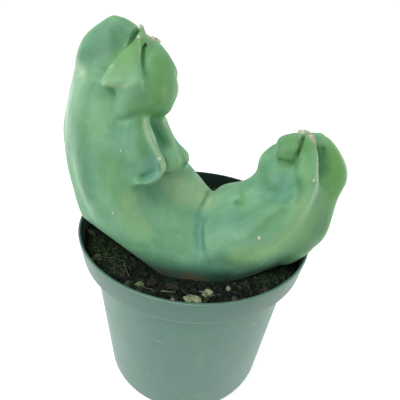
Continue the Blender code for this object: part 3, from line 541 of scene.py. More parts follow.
def grid_of(mesh):
    """A mesh's points and its edges' ends, for work on all of them at once."""
    points = np.empty(len(mesh.vertices) * 3)
    mesh.vertices.foreach_get("co", points)
    ends = np.empty(len(mesh.edges) * 2, dtype=np.int64)
    mesh.edges.foreach_get("vertices", ends)
    return points.reshape(-1, 3), ends.reshape(-1, 2)


def averaged(values, ends, rounds, share):
    """Values on a mesh's points, each moved towards the middle of its neighbours."""
    count = len(values)
    first, second = ends.T
    degree = np.maximum(np.bincount(ends.ravel(), minlength=count), 1)[:, None]
    for _ in range(rounds):
        total = np.zeros_like(values)
        for axis in range(values.shape[1]):
            total[:, axis] += np.bincount(first, values[second, axis], count)
            total[:, axis] += np.bincount(second, values[first, axis], count)
        values = values + share * (total / degree - values)
    return values


def near(points, path, radius):
    """1 on a path given in the plant's millimetres, falling to 0 at a radius round it."""
    steps = max(1, (len(path) - 1) * 6)
    rows = path if len(path) == 1 else [catmull(path, i / 6) for i in range(steps + 1)]
    distance = np.full(len(points), 1e9)
    for row in rows:
        middle = (np.array(row) + (0, 0, RIM_HEIGHT / MM)) * MM
        distance = np.minimum(distance, np.linalg.norm(points - middle, axis=1))
    share = np.clip(1 - distance / (radius * MM), 0, 1)
    return share**2 * (3 - 2 * share)


def easing(points):
    """How much each point is smoothed: a little round the crowns and folds, more on the trunk."""
    share = np.full(len(points), 0.6)
    for centre, radius in CRISP:
        middle = (np.array(centre) + (0, 0, RIM_HEIGHT / MM)) * MM
        distance = np.linalg.norm(points - middle, axis=1) / (radius * MM)
        share = np.minimum(share, np.clip(0.04 + 0.56 * (distance - 0.8) / 0.5, 0.04, 0.6))
    return share[:, None]


def arm_places(points):
    """Where each point lies along its arm, and its angle round it."""
    best = np.full(len(points), 1e9)
    place, turn = np.zeros(len(points)), np.zeros(len(points))
    for arm in (LEFT, RIGHT):
        for i in range((len(arm.line) - 1) * 8 + 1):
            centre, front, inner = arm.frame(i / 8)
            away = points - (np.array(centre) + (0, 0, RIM_HEIGHT / MM)) * MM
            distance = np.linalg.norm(away, axis=1)
            closer = distance < best
            best[closer] = distance[closer]
            place[closer] = i / 8 + (20 if arm is RIGHT else 0)
            turn[closer] = np.arctan2(away[closer] @ np.array(inner), away[closer] @ np.array(front))
    return place, turn


def attribute(mesh, name, values):
    layer = mesh.attributes.new(name, "FLOAT", "POINT")
    layer.data.foreach_set("value", np.asarray(values, dtype=np.float32))


def pared(points):
    """Moves what stands out past a plane back onto it."""
    place, normal = (np.array(row) for row in PARED)
    beyond = (points - (place * MM + (0, 0, RIM_HEIGHT))) @ normal
    return points - np.minimum(beyond, 0)[:, None] * normal


def plant(skin):
    bm = bmesh.new()
    core(bm, LEFT)
    core(bm, RIGHT)
    for stations in LEFT_RIBS:
        rib(bm, LEFT, 1, stations)
    for stations in RIGHT_RIBS:
        rib(bm, RIGHT, -1, stations)
    for crest in LEFT_LOBES.values():
        fin(bm, LEFT, crest)
    for crest in RIGHT_LOBES.values():
        fin(bm, RIGHT, crest)
    for balls in LUMPS.values():
        lump(bm, balls)
    bm.transform(LIFT)
    cactus = finished("cactus_stem", bm, skin)
    remesh = cactus.modifiers.new("fuse", "REMESH")
    remesh.mode = "VOXEL"
    remesh.voxel_size = VOXEL
    applied(cactus)
    points, ends = grid_of(cactus.data)
    points = pared(points)
    cactus.data.vertices.foreach_set("co", averaged(points, ends, 34, easing(points)).ravel())
    cactus.data.update()
    pressed(cactus, STROKES)
    cutters = [fold(LEFT, path) for path in LEFT_FOLDS] + [fold(RIGHT, path) for path in RIGHT_FOLDS]
    for cutter in cutters:
        cut = cactus.modifiers.new("fold", "BOOLEAN")
        cut.operation = "DIFFERENCE"
        cut.object = cutter
    applied(cactus)
    for cutter in cutters:
        bpy.data.objects.remove(cutter)
    points, ends = grid_of(cactus.data)
    points = averaged(points, ends, 2, 0.3)
    cactus.data.vertices.foreach_set("co", points.ravel())
    cactus.data.update()
    for face in cactus.data.polygons:
        face.use_smooth = True

    # How far each point stands out of its broad surroundings: ribs and lips are above 0, valleys below. The skin's
    # painted highlights on crests and its painted shade in valleys are read from it.
    normals = np.empty(points.size, dtype=np.float32)
    cactus.data.vertices.foreach_get("normal", normals)
    normals = normals.reshape(-1, 3)
    broad = averaged(points, ends, 90, 0.6)
    stands = ((points - broad) * normals).sum(axis=1) / MM
    attribute(cactus.data, "stands", stands)
    place, turn = arm_places(points)
    attribute(cactus.data, "along", averaged(place[:, None], ends, 12, 0.6)[:, 0])
    attribute(cactus.data, "turn", turn)
    for name, spots in TINTS.items():
        amount = np.zeros(len(points))
        for path, radius, strength in spots:
            amount = np.maximum(amount, strength * near(points, path, radius))
        attribute(cactus.data, name, amount)
    return cactus


# Where the skin's colour drifts, and where light and shade are painted into it: the dark green tint is painted shade,
# the pale ridge lines are painted highlights, the straw tint is partly painted highlight and the dark teal at the foot
# is partly painted shade. Rows: points by the skin, a radius and a strength.
TINTS = {
    "young": [
        ([(-27, -18, 72), (-23, -14, 76)], 9, 0.9),
        ([(-16, -16, 70), (-15, -19, 61)], 11, 1.0),
        ([(-22, -22, 57), (-14, -15, 52)], 7, 0.8),
        ([(-22.5, -20.5, 52), (-22, -22, 47), (-20.5, -23, 42)], 4, 0.8),
        ([(-8, -14, 37)], 5, 0.5),
        ([(38, -14, 46), (31, -16, 46), (31, -19, 43)], 9, 1.0),
        ([(40, -16, 44), (39.5, -20, 40), (38.5, -23, 36)], 5, 0.9),
        ([(50, -12, 44), (52, -14, 36), (50, -17, 26)], 13, 1.0),
        ([(52, -18, 18), (46, -22, 20), (44, -25, 9)], 12, 1.0),
        ([(32.6, -27.5, 26), (25.6, -29, 19)], 6, 0.4),
        ([(-31, -27, 38), (-32, -28, 32), (-28, -28, 27)], 8, 0.4),
        ([(17.9, -13, 23.6), (18, -17, 21)], 2.5, 0.8),
        ([(-24.4, -5, 79)], 5, 1.0),
        ([(-12, -14, 46)], 8, 0.8),
    ],
    # A pale straw tone: partly the skin's own yellowish tint, partly painted highlight on lit ridges and faces.
    "straw_and_highlight": [
        ([(40, -26.6, 28), (38, -28, 20), (34, -29.5, 13.5), (26, -31, 8.5), (18, -32, 6)], 7, 1.0),
        ([(43, -22, 37), (40.6, -26, 32), (38.5, -27.5, 26)], 2.5, 0.8),
        ([(-9, -17, 35), (-7, -15, 32)], 5, 0.7),
        ([(-7, -15, 23), (-1, -14, 22), (2.4, -12.4, 20)], 9, 0.6),
        ([(-48, -9, 62), (-38, -18, 67)], 6, 0.5),
        ([(-24.6, -27.1, 24), (-26, -27.6, 18), (-20, -28, 12)], 8, 0.9),
        ([(-31, -22, 67), (-26, -22, 69), (-27, -17, 73)], 6, 0.55),
        ([(-24.5, -5, 80.5), (-24.8, -6, 77.5)], 4, 1.0),
        ([(-33, -20, 56), (-35, -22, 48)], 8, 0.7),
        ([(-42, -17, 56), (-40, -20, 48)], 7, 0.5),
    ],
    # Painted highlights: pale lines along lit ridges and lips, and a painted highlight spot on the beak's edge.
    "ridge_highlights": [
        ([(-20.6, -20.5, 53), (-20, -21.5, 50.5), (-18.8, -22, 47.5), (-16.8, -22.6, 44), (-14.6, -23.2, 41),
          (-12.9, -23.6, 38), (-12.3, -24.4, 35.2), (-13.3, -26, 32.8), (-15.8, -28, 31.4), (-19, -29, 31)], 1.5, 0.9),
        ([(-12.6, -23.6, 37), (-12.3, -24.4, 34)], 2.6, 0.6),
        ([(-9, -16, 27), (-5, -16, 23), (0, -14, 21.5), (3.4, -12.4, 19.5)], 9, 0.55),
        ([(41.5, -10.5, 48.5), (42.2, -13, 46.8), (42.2, -17.6, 44.2), (42, -21, 41.2), (41.5, -23.8, 37.8)], 0.9, 1.0),
        ([(-32.6, -26, 65), (-28, -26, 64.5), (-23, -24, 66)], 1.4, 0.7),
        ([(-29.6, -25.4, 52.6), (-26.4, -25.2, 52.4), (-23, -24, 54)], 1.1, 0.6),
        ([(-31, -21.6, 70)], 1.3, 1.0),
        ([(-23.6, -13.4, 77.4), (-22.6, -17, 73.4), (-22.2, -20, 70)], 0.8, 0.6),
    ],
    "dry": [
        ([(40.2, -10.4, 49), (41.6, -12, 48.2)], 2.0, 1.0),
        ([(-23.4, -12.4, 78)], 1.2, 0.9),
        ([(-24.5, -4.4, 80.4)], 1.2, 0.9),
        ([(-22, -4.4, 77.4), (-18.6, -3.2, 76.6)], 1.9, 1.0),
    ],
    "bluish": [
        ([(-18, -23, 40), (-16, -24, 34)], 6, 1.0),
        ([(31, -19, 36), (31, -22, 30)], 8, 0.6),
        ([(3.4, -17, 14), (3.1, -23, 10.8), (3.7, -27.6, 6.8), (4.9, -31.3, 3.4), (6, -32.7, -3)], 6, 0.6),
        ([(-10, -13, 62)], 5, 0.5),
        ([(-36, -13, 75), (-40, -14, 71)], 8, 0.7),
        ([(15, -22, 17), (9, -24, 14)], 9, 0.5),
        ([(-28, -27, 47)], 7, 0.4),
    ],
    # Dark green painted shade: on the upward-facing shoulder, under the hook and on faces turned away from the light.
    "painted_shade": [
        ([(-43.4, -22.5, 47), (-43, -23.6, 40), (-42, -23.8, 33), (-41, -24.5, 24)], 8, 1.0),
        ([(-42, -13, 69), (-38, -15, 72), (-34, -14, 77), (-30, -12, 80)], 9, 1.0),
        ([(-33, -15, 73)], 7, 1.0),
        ([(-16, -14, 49), (-13, -15, 44)], 4, 1.0),
        ([(-22.5, -20.5, 52), (-22, -22, 47), (-20.5, -23, 42)], 3, 0.4),
        ([(45, -13, 44), (46.5, -14, 38)], 5, 0.9),
        ([(50, -20, 19), (48, -22.5, 13), (45.5, -24.5, 8), (38, -28.5, 2.5)], 8, 1.0),
        ([(-37, -26, 36), (-38, -26, 28), (-37, -26, 18)], 7, 0.35),
        ([(35, -25, 30), (32, -27, 25), (28, -28.4, 21), (22, -29.4, 16.5)], 3.6, 0.5),
        ([(-31, -22, 63), (-33, -22, 60)], 5, 0.7),
        ([(-14, -25.5, 29.5)], 3, 0.7),
        ([(-18, -30, 4)], 7, 0.3),
        ([(12, -32, 5), (24, -31.5, 3)], 5, 0.6),
        ([(16, -15, 20.5)], 2, 0.9),
        ([(31, -20, 45), (28, -16, 46)], 7, 0.8),
        ([(-12.5, -15, 64)], 4, 0.5),
        ([(36.5, -23, 36), (37.2, -25.2, 33.4), (36.6, -26.8, 30)], 3, 0.8),
    ],
    # Dark teal at the stem's foot by the soil: partly painted shade, partly the foot's darker damp skin.
    "base": [
        ([(-24, -24, -4), (-18, -28, -4.5), (-8, -32, -5.5), (4, -33, -5.5), (14, -33, -4.5)], 9, 1.0),
        ([(14, -33, -4.5), (24, -32, -3), (34, -28, -1)], 5, 0.9),
        ([(6, -33, 0), (18, -32.6, 1)], 6, 0.3),
    ],
    "cork": [
        ([(-14, -30, -6), (-4, -32, -6.5), (6, -32.5, -6.5)], 5, 1.0),
        ([(-14.6, -23.1, 37.6), (-14.2, -23.7, 35.4)], 0.9, 1.2),
    ],
    "scuffs": [
        ([(-19.5, -26, 19), (-17.5, -25, 21.5)], 0.7, 1.0),
        ([(-17, -24.6, 20), (-14.8, -23.4, 23.6)], 0.6, 1.0),
        ([(-19.8, -26, 22), (-18.4, -25.5, 19.6)], 0.5, 0.8),
    ],
}


def skin_finish():
    made = Finish("cactus_skin", roughness=0.5, Specular_IOR_Level=0.4, Sheen_Weight=0.12, Sheen_Roughness=0.45)
    made.shader.inputs["Sheen Tint"].default_value = colour(214, 240, 214)
    stands = made.read("stands")
    young = made.read("young")
    cloud = made.noise(55, detail=4, distortion=0.4)
    drift = made.noise(18, detail=2)
    mottle = made.noise(95, detail=6, roughness=0.6, distortion=0.8)
    fine = made.noise(420, detail=4, roughness=0.7)
    ribwise = made.node("CombineXYZ", {"X": made.read("turn") * 5.5, "Y": made.read("along") * 0.55})
    streaks = made.noise(1.0, detail=4, roughness=0.6, distortion=0.5, place=ribwise)
    threads = made.noise(4.5, detail=3, roughness=0.6, place=ribwise)
    tint = made.blend(made.span(cloud + drift, 0.85, 1.2), colour(100, 156, 116), colour(120, 176, 136))
    tint = made.blend(made.span(streaks, 0.46, 0.68) * 0.32, tint, colour(134, 186, 148))
    tint = made.blend(made.span(streaks, 0.48, 0.32) * 0.32, tint, colour(92, 150, 112))
    tint = made.blend(made.span(mottle, 0.5, 0.68) * 0.4, tint, colour(140, 190, 154))
    tint = made.blend(made.span(mottle, 0.48, 0.34) * 0.35, tint, colour(88, 148, 112))
    straw_and_highlight = made.read("straw_and_highlight")
    bluish = made.read("bluish")
    # Painted shade: valleys and concave places, where the skin sinks below its surroundings, are tinted a darker bluish
    # green.
    valley_shade = made.span(stands + cloud * 1.2 - 0.6, -0.1, -1.6) * (1.0 - straw_and_highlight * 0.7)
    tint = made.blend(valley_shade, tint, colour(82, 146, 118))
    tint = made.blend(bluish * made.span(cloud + streaks, 0.6, 1.1, 0.25, 0.65), tint, colour(94, 152, 140))
    tint = made.blend(young * made.span(cloud + streaks, 0.6, 1.2, 0.7, 1.0), tint, colour(96, 154, 78))
    # Painted shade: darker green on faces turned away from the light and under overhangs.
    painted_shade = made.read("painted_shade")
    tint = made.blend(painted_shade * made.span(cloud + streaks, 0.7, 1.2, 0.35, 1.0), tint, colour(68, 126, 86))
    # The straw tone: partly the skin's own yellowish tint, partly painted highlight.
    tint = made.blend(straw_and_highlight * made.span(cloud + streaks, 0.7, 1.2, 0.4, 0.85), tint, colour(146, 190, 130))
    # Painted highlight: crests that stand out of their surroundings are tinted paler.
    crest_highlight = made.span(stands, 0.35, 1.3) * (0.5 - young * 0.35) * (1.0 - bluish * 0.8) * (1.0 - painted_shade * 0.7)
    tint = made.blend(crest_highlight, tint, colour(148, 196, 142))
    # Painted highlights along the ridges and lips.
    tint = made.blend(made.read("ridge_highlights") * made.span(threads, 0.3, 0.6, 0.6, 0.9), tint, colour(178, 206, 162))
    tint = made.blend(made.span(threads, 0.6, 0.75) * 0.1, tint, colour(160, 200, 160))
    tint = made.blend(made.span(fine, 0.6, 0.78) * 0.3, tint, colour(172, 208, 172))
    tint = made.blend(made.span(fine, 0.42, 0.28) * 0.25, tint, colour(70, 122, 88))
    tint = made.blend(made.read("dry") * made.span(fine, 0.3, 0.6, 0.75, 1.0), tint, colour(190, 178, 150))
    # Dark teal at the foot: partly painted shade, partly the foot's darker damp skin.
    tint = made.blend(made.read("base") * made.span(cloud, 0.25, 0.6, 0.75, 1.0), tint, colour(34, 82, 70))
    tint = made.blend(made.read("cork") * made.span(fine + cloud, 0.85, 1.1) * 0.85, tint, colour(104, 90, 62))
    tint = made.blend(made.read("scuffs") * made.span(fine, 0.35, 0.55) * 0.8, tint, colour(186, 212, 160))
    made.set("Base Color", tint)
    made.set("Roughness", made.span(cloud + fine * 0.5, 0.5, 1.0, 0.4, 0.6))
    made.bump(fine * 0.3 + cloud + threads * 0.3, 0.0004, 0.25)
    return made.material


def spun(name, profile, steps, material):
    """A piece turned from a profile of radius and height that starts and ends on the axis."""
    bm = bmesh.new()
    points = [bm.verts.new((radius, 0, height)) for radius, height in profile]
    edges = [bm.edges.new(pair) for pair in zip(points, points[1:])]
    bmesh.ops.spin(bm, geom=points + edges, cent=(0, 0, 0), axis=(0, 0, 1), angle=math.tau, steps=steps,
                   use_merge=True)
    bmesh.ops.remove_doubles(bm, verts=bm.verts, dist=1e-6)
    return finished(name, bm, material)


def rounded(corners, steps=4):
    """A profile with its corners rounded. Rows: radius, height and the corner's rounding."""
    profile = []
    for i, (x, z, size) in enumerate(corners):
        here = Vector((x, z))
        if size == 0:
            profile.append(tuple(here))
            continue
        before = here + (Vector(corners[i - 1][:2]) - here).normalized() * size
        after = here + (Vector(corners[i + 1][:2]) - here).normalized() * size
        for k in range(steps + 1):
            share = k / steps
            profile.append(tuple(before * (1 - share) ** 2 + here * 2 * share * (1 - share) + after * share**2))
    return profile


def pot(plastic):
    collar = RIM_HEIGHT - COLLAR_HEIGHT
    foot = BASE_RADIUS - 0.0025
    corners = [
        (0, 0, 0),
        (foot, 0, 0.0004),
        (BASE_RADIUS - 0.0009, 0.0007, 0.0006),
        (BASE_RADIUS, 0.0028, 0.0012),
        (WALL_TOP_RADIUS, collar, 0.0003),
        (COLLAR_FOOT_RADIUS, collar, 0.0006),
        (RIM_RADIUS - 0.00008, RIM_HEIGHT - 0.0009, 0.0002),
        (RIM_RADIUS, RIM_HEIGHT, 0.00045),
        (RIM_RADIUS - WALL, RIM_HEIGHT, 0.00045),
        (COLLAR_FOOT_RADIUS - WALL, collar + WALL, 0.0006),
        (WALL_TOP_RADIUS - WALL, collar + WALL - 0.0004, 0.0004),
        (BASE_RADIUS - WALL, FLOOR + 0.0012, 0.0006),
        (BASE_RADIUS - WALL - 0.0012, FLOOR, 0.0004),
        (0, FLOOR, 0),
    ]
    made = spun("nursery_pot", rounded(corners), POT_STEPS, plastic)
    for i in range(6):
        turn = math.tau * (i + 0.54) / 6
        bm = bmesh.new()
        at = Matrix.Translation((0.027 * math.cos(turn), 0.027 * math.sin(turn), 0.0015))
        bmesh.ops.create_cone(bm, segments=48, radius1=0.0035, radius2=0.0035, depth=0.006, cap_ends=True, matrix=at)
        hole = finished("hole", bm)
        cut = made.modifiers.new("drain", "BOOLEAN")
        cut.operation = "DIFFERENCE"
        cut.object = hole
        applied(made)
        bpy.data.objects.remove(hole)
    made.data.set_sharp_from_angle(angle=math.radians(40))
    points, _ = grid_of(made.data)
    radius = np.hypot(points[:, 0], points[:, 1])
    height = points[:, 2]
    upper = np.interp(height, [collar, RIM_HEIGHT], [COLLAR_FOOT_RADIUS, RIM_RADIUS])
    lower = np.interp(height, [0.0028, collar], [BASE_RADIUS, WALL_TOP_RADIUS])
    skin = np.where(height > collar + 0.0001, upper, lower)
    # The inner wall is darker: partly the plastic's darker inner face, partly painted shade in the pot's depth.
    attribute(made.data, "inner_tone_and_shade", (radius < skin - 0.0008) & (height > 0.001))
    # Pale lines on the rim's lip and the collar's ledge: partly wear, partly painted highlight.
    lip = 0.45 * ((radius > RIM_RADIUS - 0.0002) & (height > RIM_HEIGHT - 0.0004))
    ledge = (radius > COLLAR_FOOT_RADIUS - 0.0004) & (np.abs(height - collar) < 0.0004)
    attribute(made.data, "wear_and_highlight", np.maximum(lip, ledge))
    return made


def plastic_finish():
    made = Finish("pot_plastic", roughness=0.42, Specular_IOR_Level=0.5, Sheen_Weight=0.1, Sheen_Roughness=0.5)
    streaks = made.noise(30, detail=4, place=made.stretch((1, 1, 0.12)))
    grain = made.noise(900, detail=3, roughness=0.7)
    dust = made.noise(70, detail=6, roughness=0.65)
    rings = made.noise(900, detail=1, place=made.stretch((0.02, 0.02, 1)))
    specks = made.node("TexVoronoi", {"Vector": made.place, "Scale": 170.0}, output="Distance")
    scuffs = made.noise(260, detail=4, roughness=0.6, distortion=1.2, place=made.stretch((0.35, 0.35, 1.6)))
    tint = made.blend(made.span(streaks, 0.35, 0.65), colour(75, 123, 106), colour(87, 135, 117))
    tint = made.blend(made.span(dust, 0.55, 0.75) * 0.25, tint, colour(142, 174, 158))
    tint = made.blend(made.span(grain, 0.6, 0.8) * 0.25, tint, colour(150, 182, 166))
    tint = made.blend(made.span(grain, 0.42, 0.25) * 0.25, tint, colour(64, 98, 86))
    tint = made.blend(made.span(specks, 0.07, 0.03) * made.span(dust, 0.5, 0.6) * 0.7, tint, colour(198, 214, 204))
    axes = made.node("SeparateXYZ", {"Vector": made.place}, output="Z")
    band = made.span(axes, 0.041, 0.045) * made.span(axes, 0.057, 0.052)
    tint = made.blend(made.span(scuffs, 0.66, 0.7) * band * 0.5, tint, colour(168, 194, 180))
    tint = made.blend(made.span(axes, 0.0735, 0.074) * 0.5, tint, colour(66, 106, 92))
    # Pale lip and ledge lines: partly wear, partly painted highlight.
    tint = made.blend(made.read("wear_and_highlight") * made.span(dust + grain, 0.8, 1.1, 0.3, 0.9), tint, colour(168, 196, 182))
    # Dark inner wall: partly the plastic's own colour, partly painted shade.
    tint = made.blend(made.read("inner_tone_and_shade") * 1.0, tint, colour(16, 42, 34))
    made.set("Base Color", tint)
    made.set("Roughness", made.span(dust + streaks * 0.5, 0.5, 1.0, 0.36, 0.5))
    made.bump(grain * 0.4 + rings * 0.6, 0.00012, 0.5)
    return made.material


def relief(x, y):
    """The soil's height over its level at a place given in millimetres."""
    at = Vector((x, y, 0))
    return 0.9 * noise.noise(at * 0.11) + 0.5 * noise.noise(at * 0.31)


def soil(stem, earth):
    collar = RIM_HEIGHT - COLLAR_HEIGHT
    lean = (RIM_RADIUS - COLLAR_FOOT_RADIUS) / COLLAR_HEIGHT
    edge = COLLAR_FOOT_RADIUS - WALL - SOIL_GAP + lean * (SOIL_TOP - collar - WALL)
    base = BASE_RADIUS - WALL - SOIL_GAP
    profile = [(0, FLOOR + SOIL_GAP), (base - 0.0014, FLOOR + SOIL_GAP), (base, FLOOR + SOIL_GAP + 0.0014),
               (WALL_TOP_RADIUS - WALL - SOIL_GAP, collar + WALL - 0.0004 + SOIL_GAP),
               (COLLAR_FOOT_RADIUS - WALL - SOIL_GAP, collar + WALL + SOIL_GAP), (edge, SOIL_TOP - 0.0008)]
    rings = 96
    profile += [(edge * (1 - (i + 1) / rings), SOIL_TOP) for i in range(rings)]
    made = spun("potting_mix", profile, 520, earth)
    lowest = SOIL_TOP - 0.0001
    points, _ = grid_of(made.data)
    skin = BVHTree.FromPolygons([v.co for v in stem.data.vertices], [p.vertices for p in stem.data.polygons])
    for i, (x, y, z) in enumerate(points):
        if z < lowest:
            continue
        at = Vector((x / MM, y / MM, 0))
        height = relief(at.x, at.y) + 0.35 * noise.noise(at * 0.9) + 0.25 * noise.noise(at * 2.1)
        height -= 0.5 * abs(noise.noise(at * 0.55 + Vector((9, 0, 0))))
        z = SOIL_TOP + height * MM
        hit, _, _, _ = skin.ray_cast(Vector((x, y, 0.02)), Vector((0, 0, 1)))
        if hit and hit.z - 0.0003 < z:
            z = hit.z - 0.0003
        points[i, 2] = z
    made.data.vertices.foreach_set("co", points.ravel())
    made.data.update()
    return made, skin, edge


def earth_finish():
    made = Finish("soil", roughness=0.95, Specular_IOR_Level=0.25)
    clods = made.noise(260, detail=6, roughness=0.7)
    broad = made.noise(45, detail=3)
    bits = made.node("TexVoronoi", {"Vector": made.place, "Scale": 700.0}, output="Distance")
    tint = made.blend(made.span(clods, 0.35, 0.7), colour(7, 17, 11), colour(25, 39, 27))
    tint = made.blend(made.span(broad, 0.5, 0.65) * 0.6, tint, colour(28, 46, 29))
    tint = made.blend(made.span(bits, 0.16, 0.05) * 0.3, tint, colour(62, 68, 52))
    made.set("Base Color", tint)
    made.bump(clods + bits * 0.5, 0.0009, 0.8)
    return made.material


def stone(detail, seed, rough, shape=(1, 1, 1)):
    """A rough stone of radius about 1."""
    bm = bmesh.new()
    bmesh.ops.create_icosphere(bm, subdivisions=detail, radius=1.0)
    for vert in bm.verts:
        shift = noise.noise(vert.co * 1.3 + Vector((seed, 0, 0))) + 0.4 * noise.noise(vert.co * 3.1 + Vector((0, seed, 0)))
        point = vert.co * (1 + rough * shift)
        vert.co = Vector((point.x * shape[0], point.y * shape[1], point.z * shape[2]))
    return bm


def scattered(name, shapes, places, values, material, smooth=False):
    """One piece made of copies of a few shapes. Places are matrices, and values say which tint a copy takes."""
    points, faces, tints = [], [], []
    count = 0
    models = []
    for bm in shapes:
        models.append(([vert.co.copy() for vert in bm.verts], [[vert.index for vert in face.verts] for face in bm.faces]))
        bm.free()
    for i, (matrix, value) in enumerate(zip(places, values)):
        model, sides = models[i % len(models)]
        points += [matrix @ point for point in model]
        faces += [[corner + count for corner in side] for side in sides]
        tints += [value] * len(model)
        count += len(model)
    mesh = bpy.data.meshes.new(name)
    mesh.from_pydata(points, [], faces)
    attribute(mesh, "grain", tints)
    for face in mesh.polygons:
        face.use_smooth = smooth
    return new_object(name, mesh, material)


def loose_places(count, dice, skin, edge, sizes, flat, sink, keep=None):
    """Places on the soil, clear of the stem. Sizes are in metres."""
    places = []
    while len(places) < count:
        radius = (edge - 0.001) * math.sqrt(dice.random())
        turn = math.tau * dice.random()
        x, y = radius * math.cos(turn), radius * math.sin(turn)
        if keep and not keep(x / MM, y / MM, dice):
            continue
        size = sizes[0] + (sizes[1] - sizes[0]) * dice.random() ** 2
        here = Vector((x, y, SOIL_TOP + relief(x / MM, y / MM) * MM + size * (flat * 0.9 - sink)))
        spot, normal, _, gap = skin.find_nearest(here)
        if gap < size * 1.1 or (here - spot).dot(normal) < 0:
            continue
        spin = (Matrix.Rotation(math.tau * dice.random(), 4, "Z") @ Matrix.Rotation(dice.uniform(-0.5, 0.5), 4, "X")
                @ Matrix.Rotation(dice.uniform(-0.5, 0.5), 4, "Y"))
        places.append(Matrix.Translation(here) @ spin @ Matrix.Scale(size, 4))
    return places


def grain_finish(name, stops, roughness=0.9):
    made = Finish(name, roughness=roughness, Specular_IOR_Level=0.3)
    mottle = made.noise(900, detail=4, roughness=0.65)
    tint = made.node("ValToRGB", {"Fac": made.read("grain")}, stops=stops)
    tint = made.blend(made.span(mottle, 0.3, 0.75) * 0.55, tint, made.blend(1.0, tint, colour(122, 130, 118), "MULTIPLY"))
    made.set("Base Color", tint)
    made.bump(mottle, 0.0004, 0.6)
    return made.material


def grit(skin, edge):
    dice = random.Random(11)
    made = []
    crumbs = [stone(1, 3.1 * i, 0.5, (1, 0.8, 0.7)) for i in range(5)]
    places = loose_places(2300, dice, skin, edge, (0.0004, 0.0013), 0.7, 0.35)
    stops = [(0.0, colour(8, 19, 13)), (0.45, colour(19, 33, 23)), (0.8, colour(40, 50, 36)), (1.0, colour(18, 42, 28))]
    made.append(scattered("soil_crumbs", crumbs, places, [dice.random() for _ in places], grain_finish("crumbs", stops)))

    chips = [stone(2, 5.3 * i, 0.35, (1, 0.45, 0.25)) for i in range(5)]
    places = loose_places(230, dice, skin, edge, (0.0012, 0.0032), 0.25, 0.1)
    stops = [(0.0, colour(14, 24, 18)), (0.5, colour(33, 41, 31)), (0.8, colour(56, 60, 45)), (1.0, colour(88, 96, 74))]
    made.append(scattered("bark_bits", chips, places, [dice.random() for _ in places], grain_finish("bark_bits", stops)))

    pebbles = [stone(2, 7.7 * i, 0.45, (1, 0.85, 0.75)) for i in range(4)]
    places = loose_places(55, dice, skin, edge, (0.0004, 0.0012), 0.75, 0.3)
    stops = [(0.0, colour(60, 68, 52)), (0.6, colour(112, 116, 92)), (1.0, colour(170, 172, 146))]
    made.append(scattered("mineral_bits", pebbles, places, [dice.random() for _ in places], grain_finish("mineral_bits", stops)))

    def mossy(x, y, dice):
        spots = [((-43, -20), 10), ((-34, -27), 12), ((34, -29), 10), ((8, 40), 10), ((36, 30), 8), ((9, 22), 6)]
        return any(math.hypot(x - spot[0], y - spot[1]) < reach * dice.random() ** 0.5 for spot, reach in spots)

    tufts = [stone(1, 2.3 * i, 0.6, (1, 1, 0.9)) for i in range(4)]
    places = loose_places(2000, dice, skin, edge, (0.00025, 0.0006), 0.9, 0.3, mossy)
    stops = [(0.0, colour(24, 44, 24)), (0.6, colour(44, 68, 37)), (1.0, colour(76, 102, 56))]
    made.append(scattered("moss", tufts, places, [dice.random() for _ in places], grain_finish("moss", stops)))
    return made


# Strands seen in the photo. Rows: points in millimetres and half the strand's width.
STRANDS = [
    ([(-27.4, -28.6, 79.2), (-26.4, -30.6, 79.9), (-25.2, -33, 79.8), (-23.6, -35.6, 79.2)], 0.16),
    ([(4.6, -40.6, 79.4), (4.4, -41.6, 80.6), (5.4, -42.2, 81.3), (6.6, -42.4, 81.2), (7.2, -42.6, 80.2),
      (6.4, -43, 79.4)], 0.3),
    ([(7.6, -42.9, 79.2), (8.6, -42.8, 80.2), (9.6, -42.2, 80), (10.2, -41.6, 79)], 0.28),
    ([(-10.4, -41.6, 79), (-9.2, -42.4, 80), (-7.6, -42.6, 80.2), (-5.8, -42, 79.6), (-5.2, -41, 79)], 0.22),
]


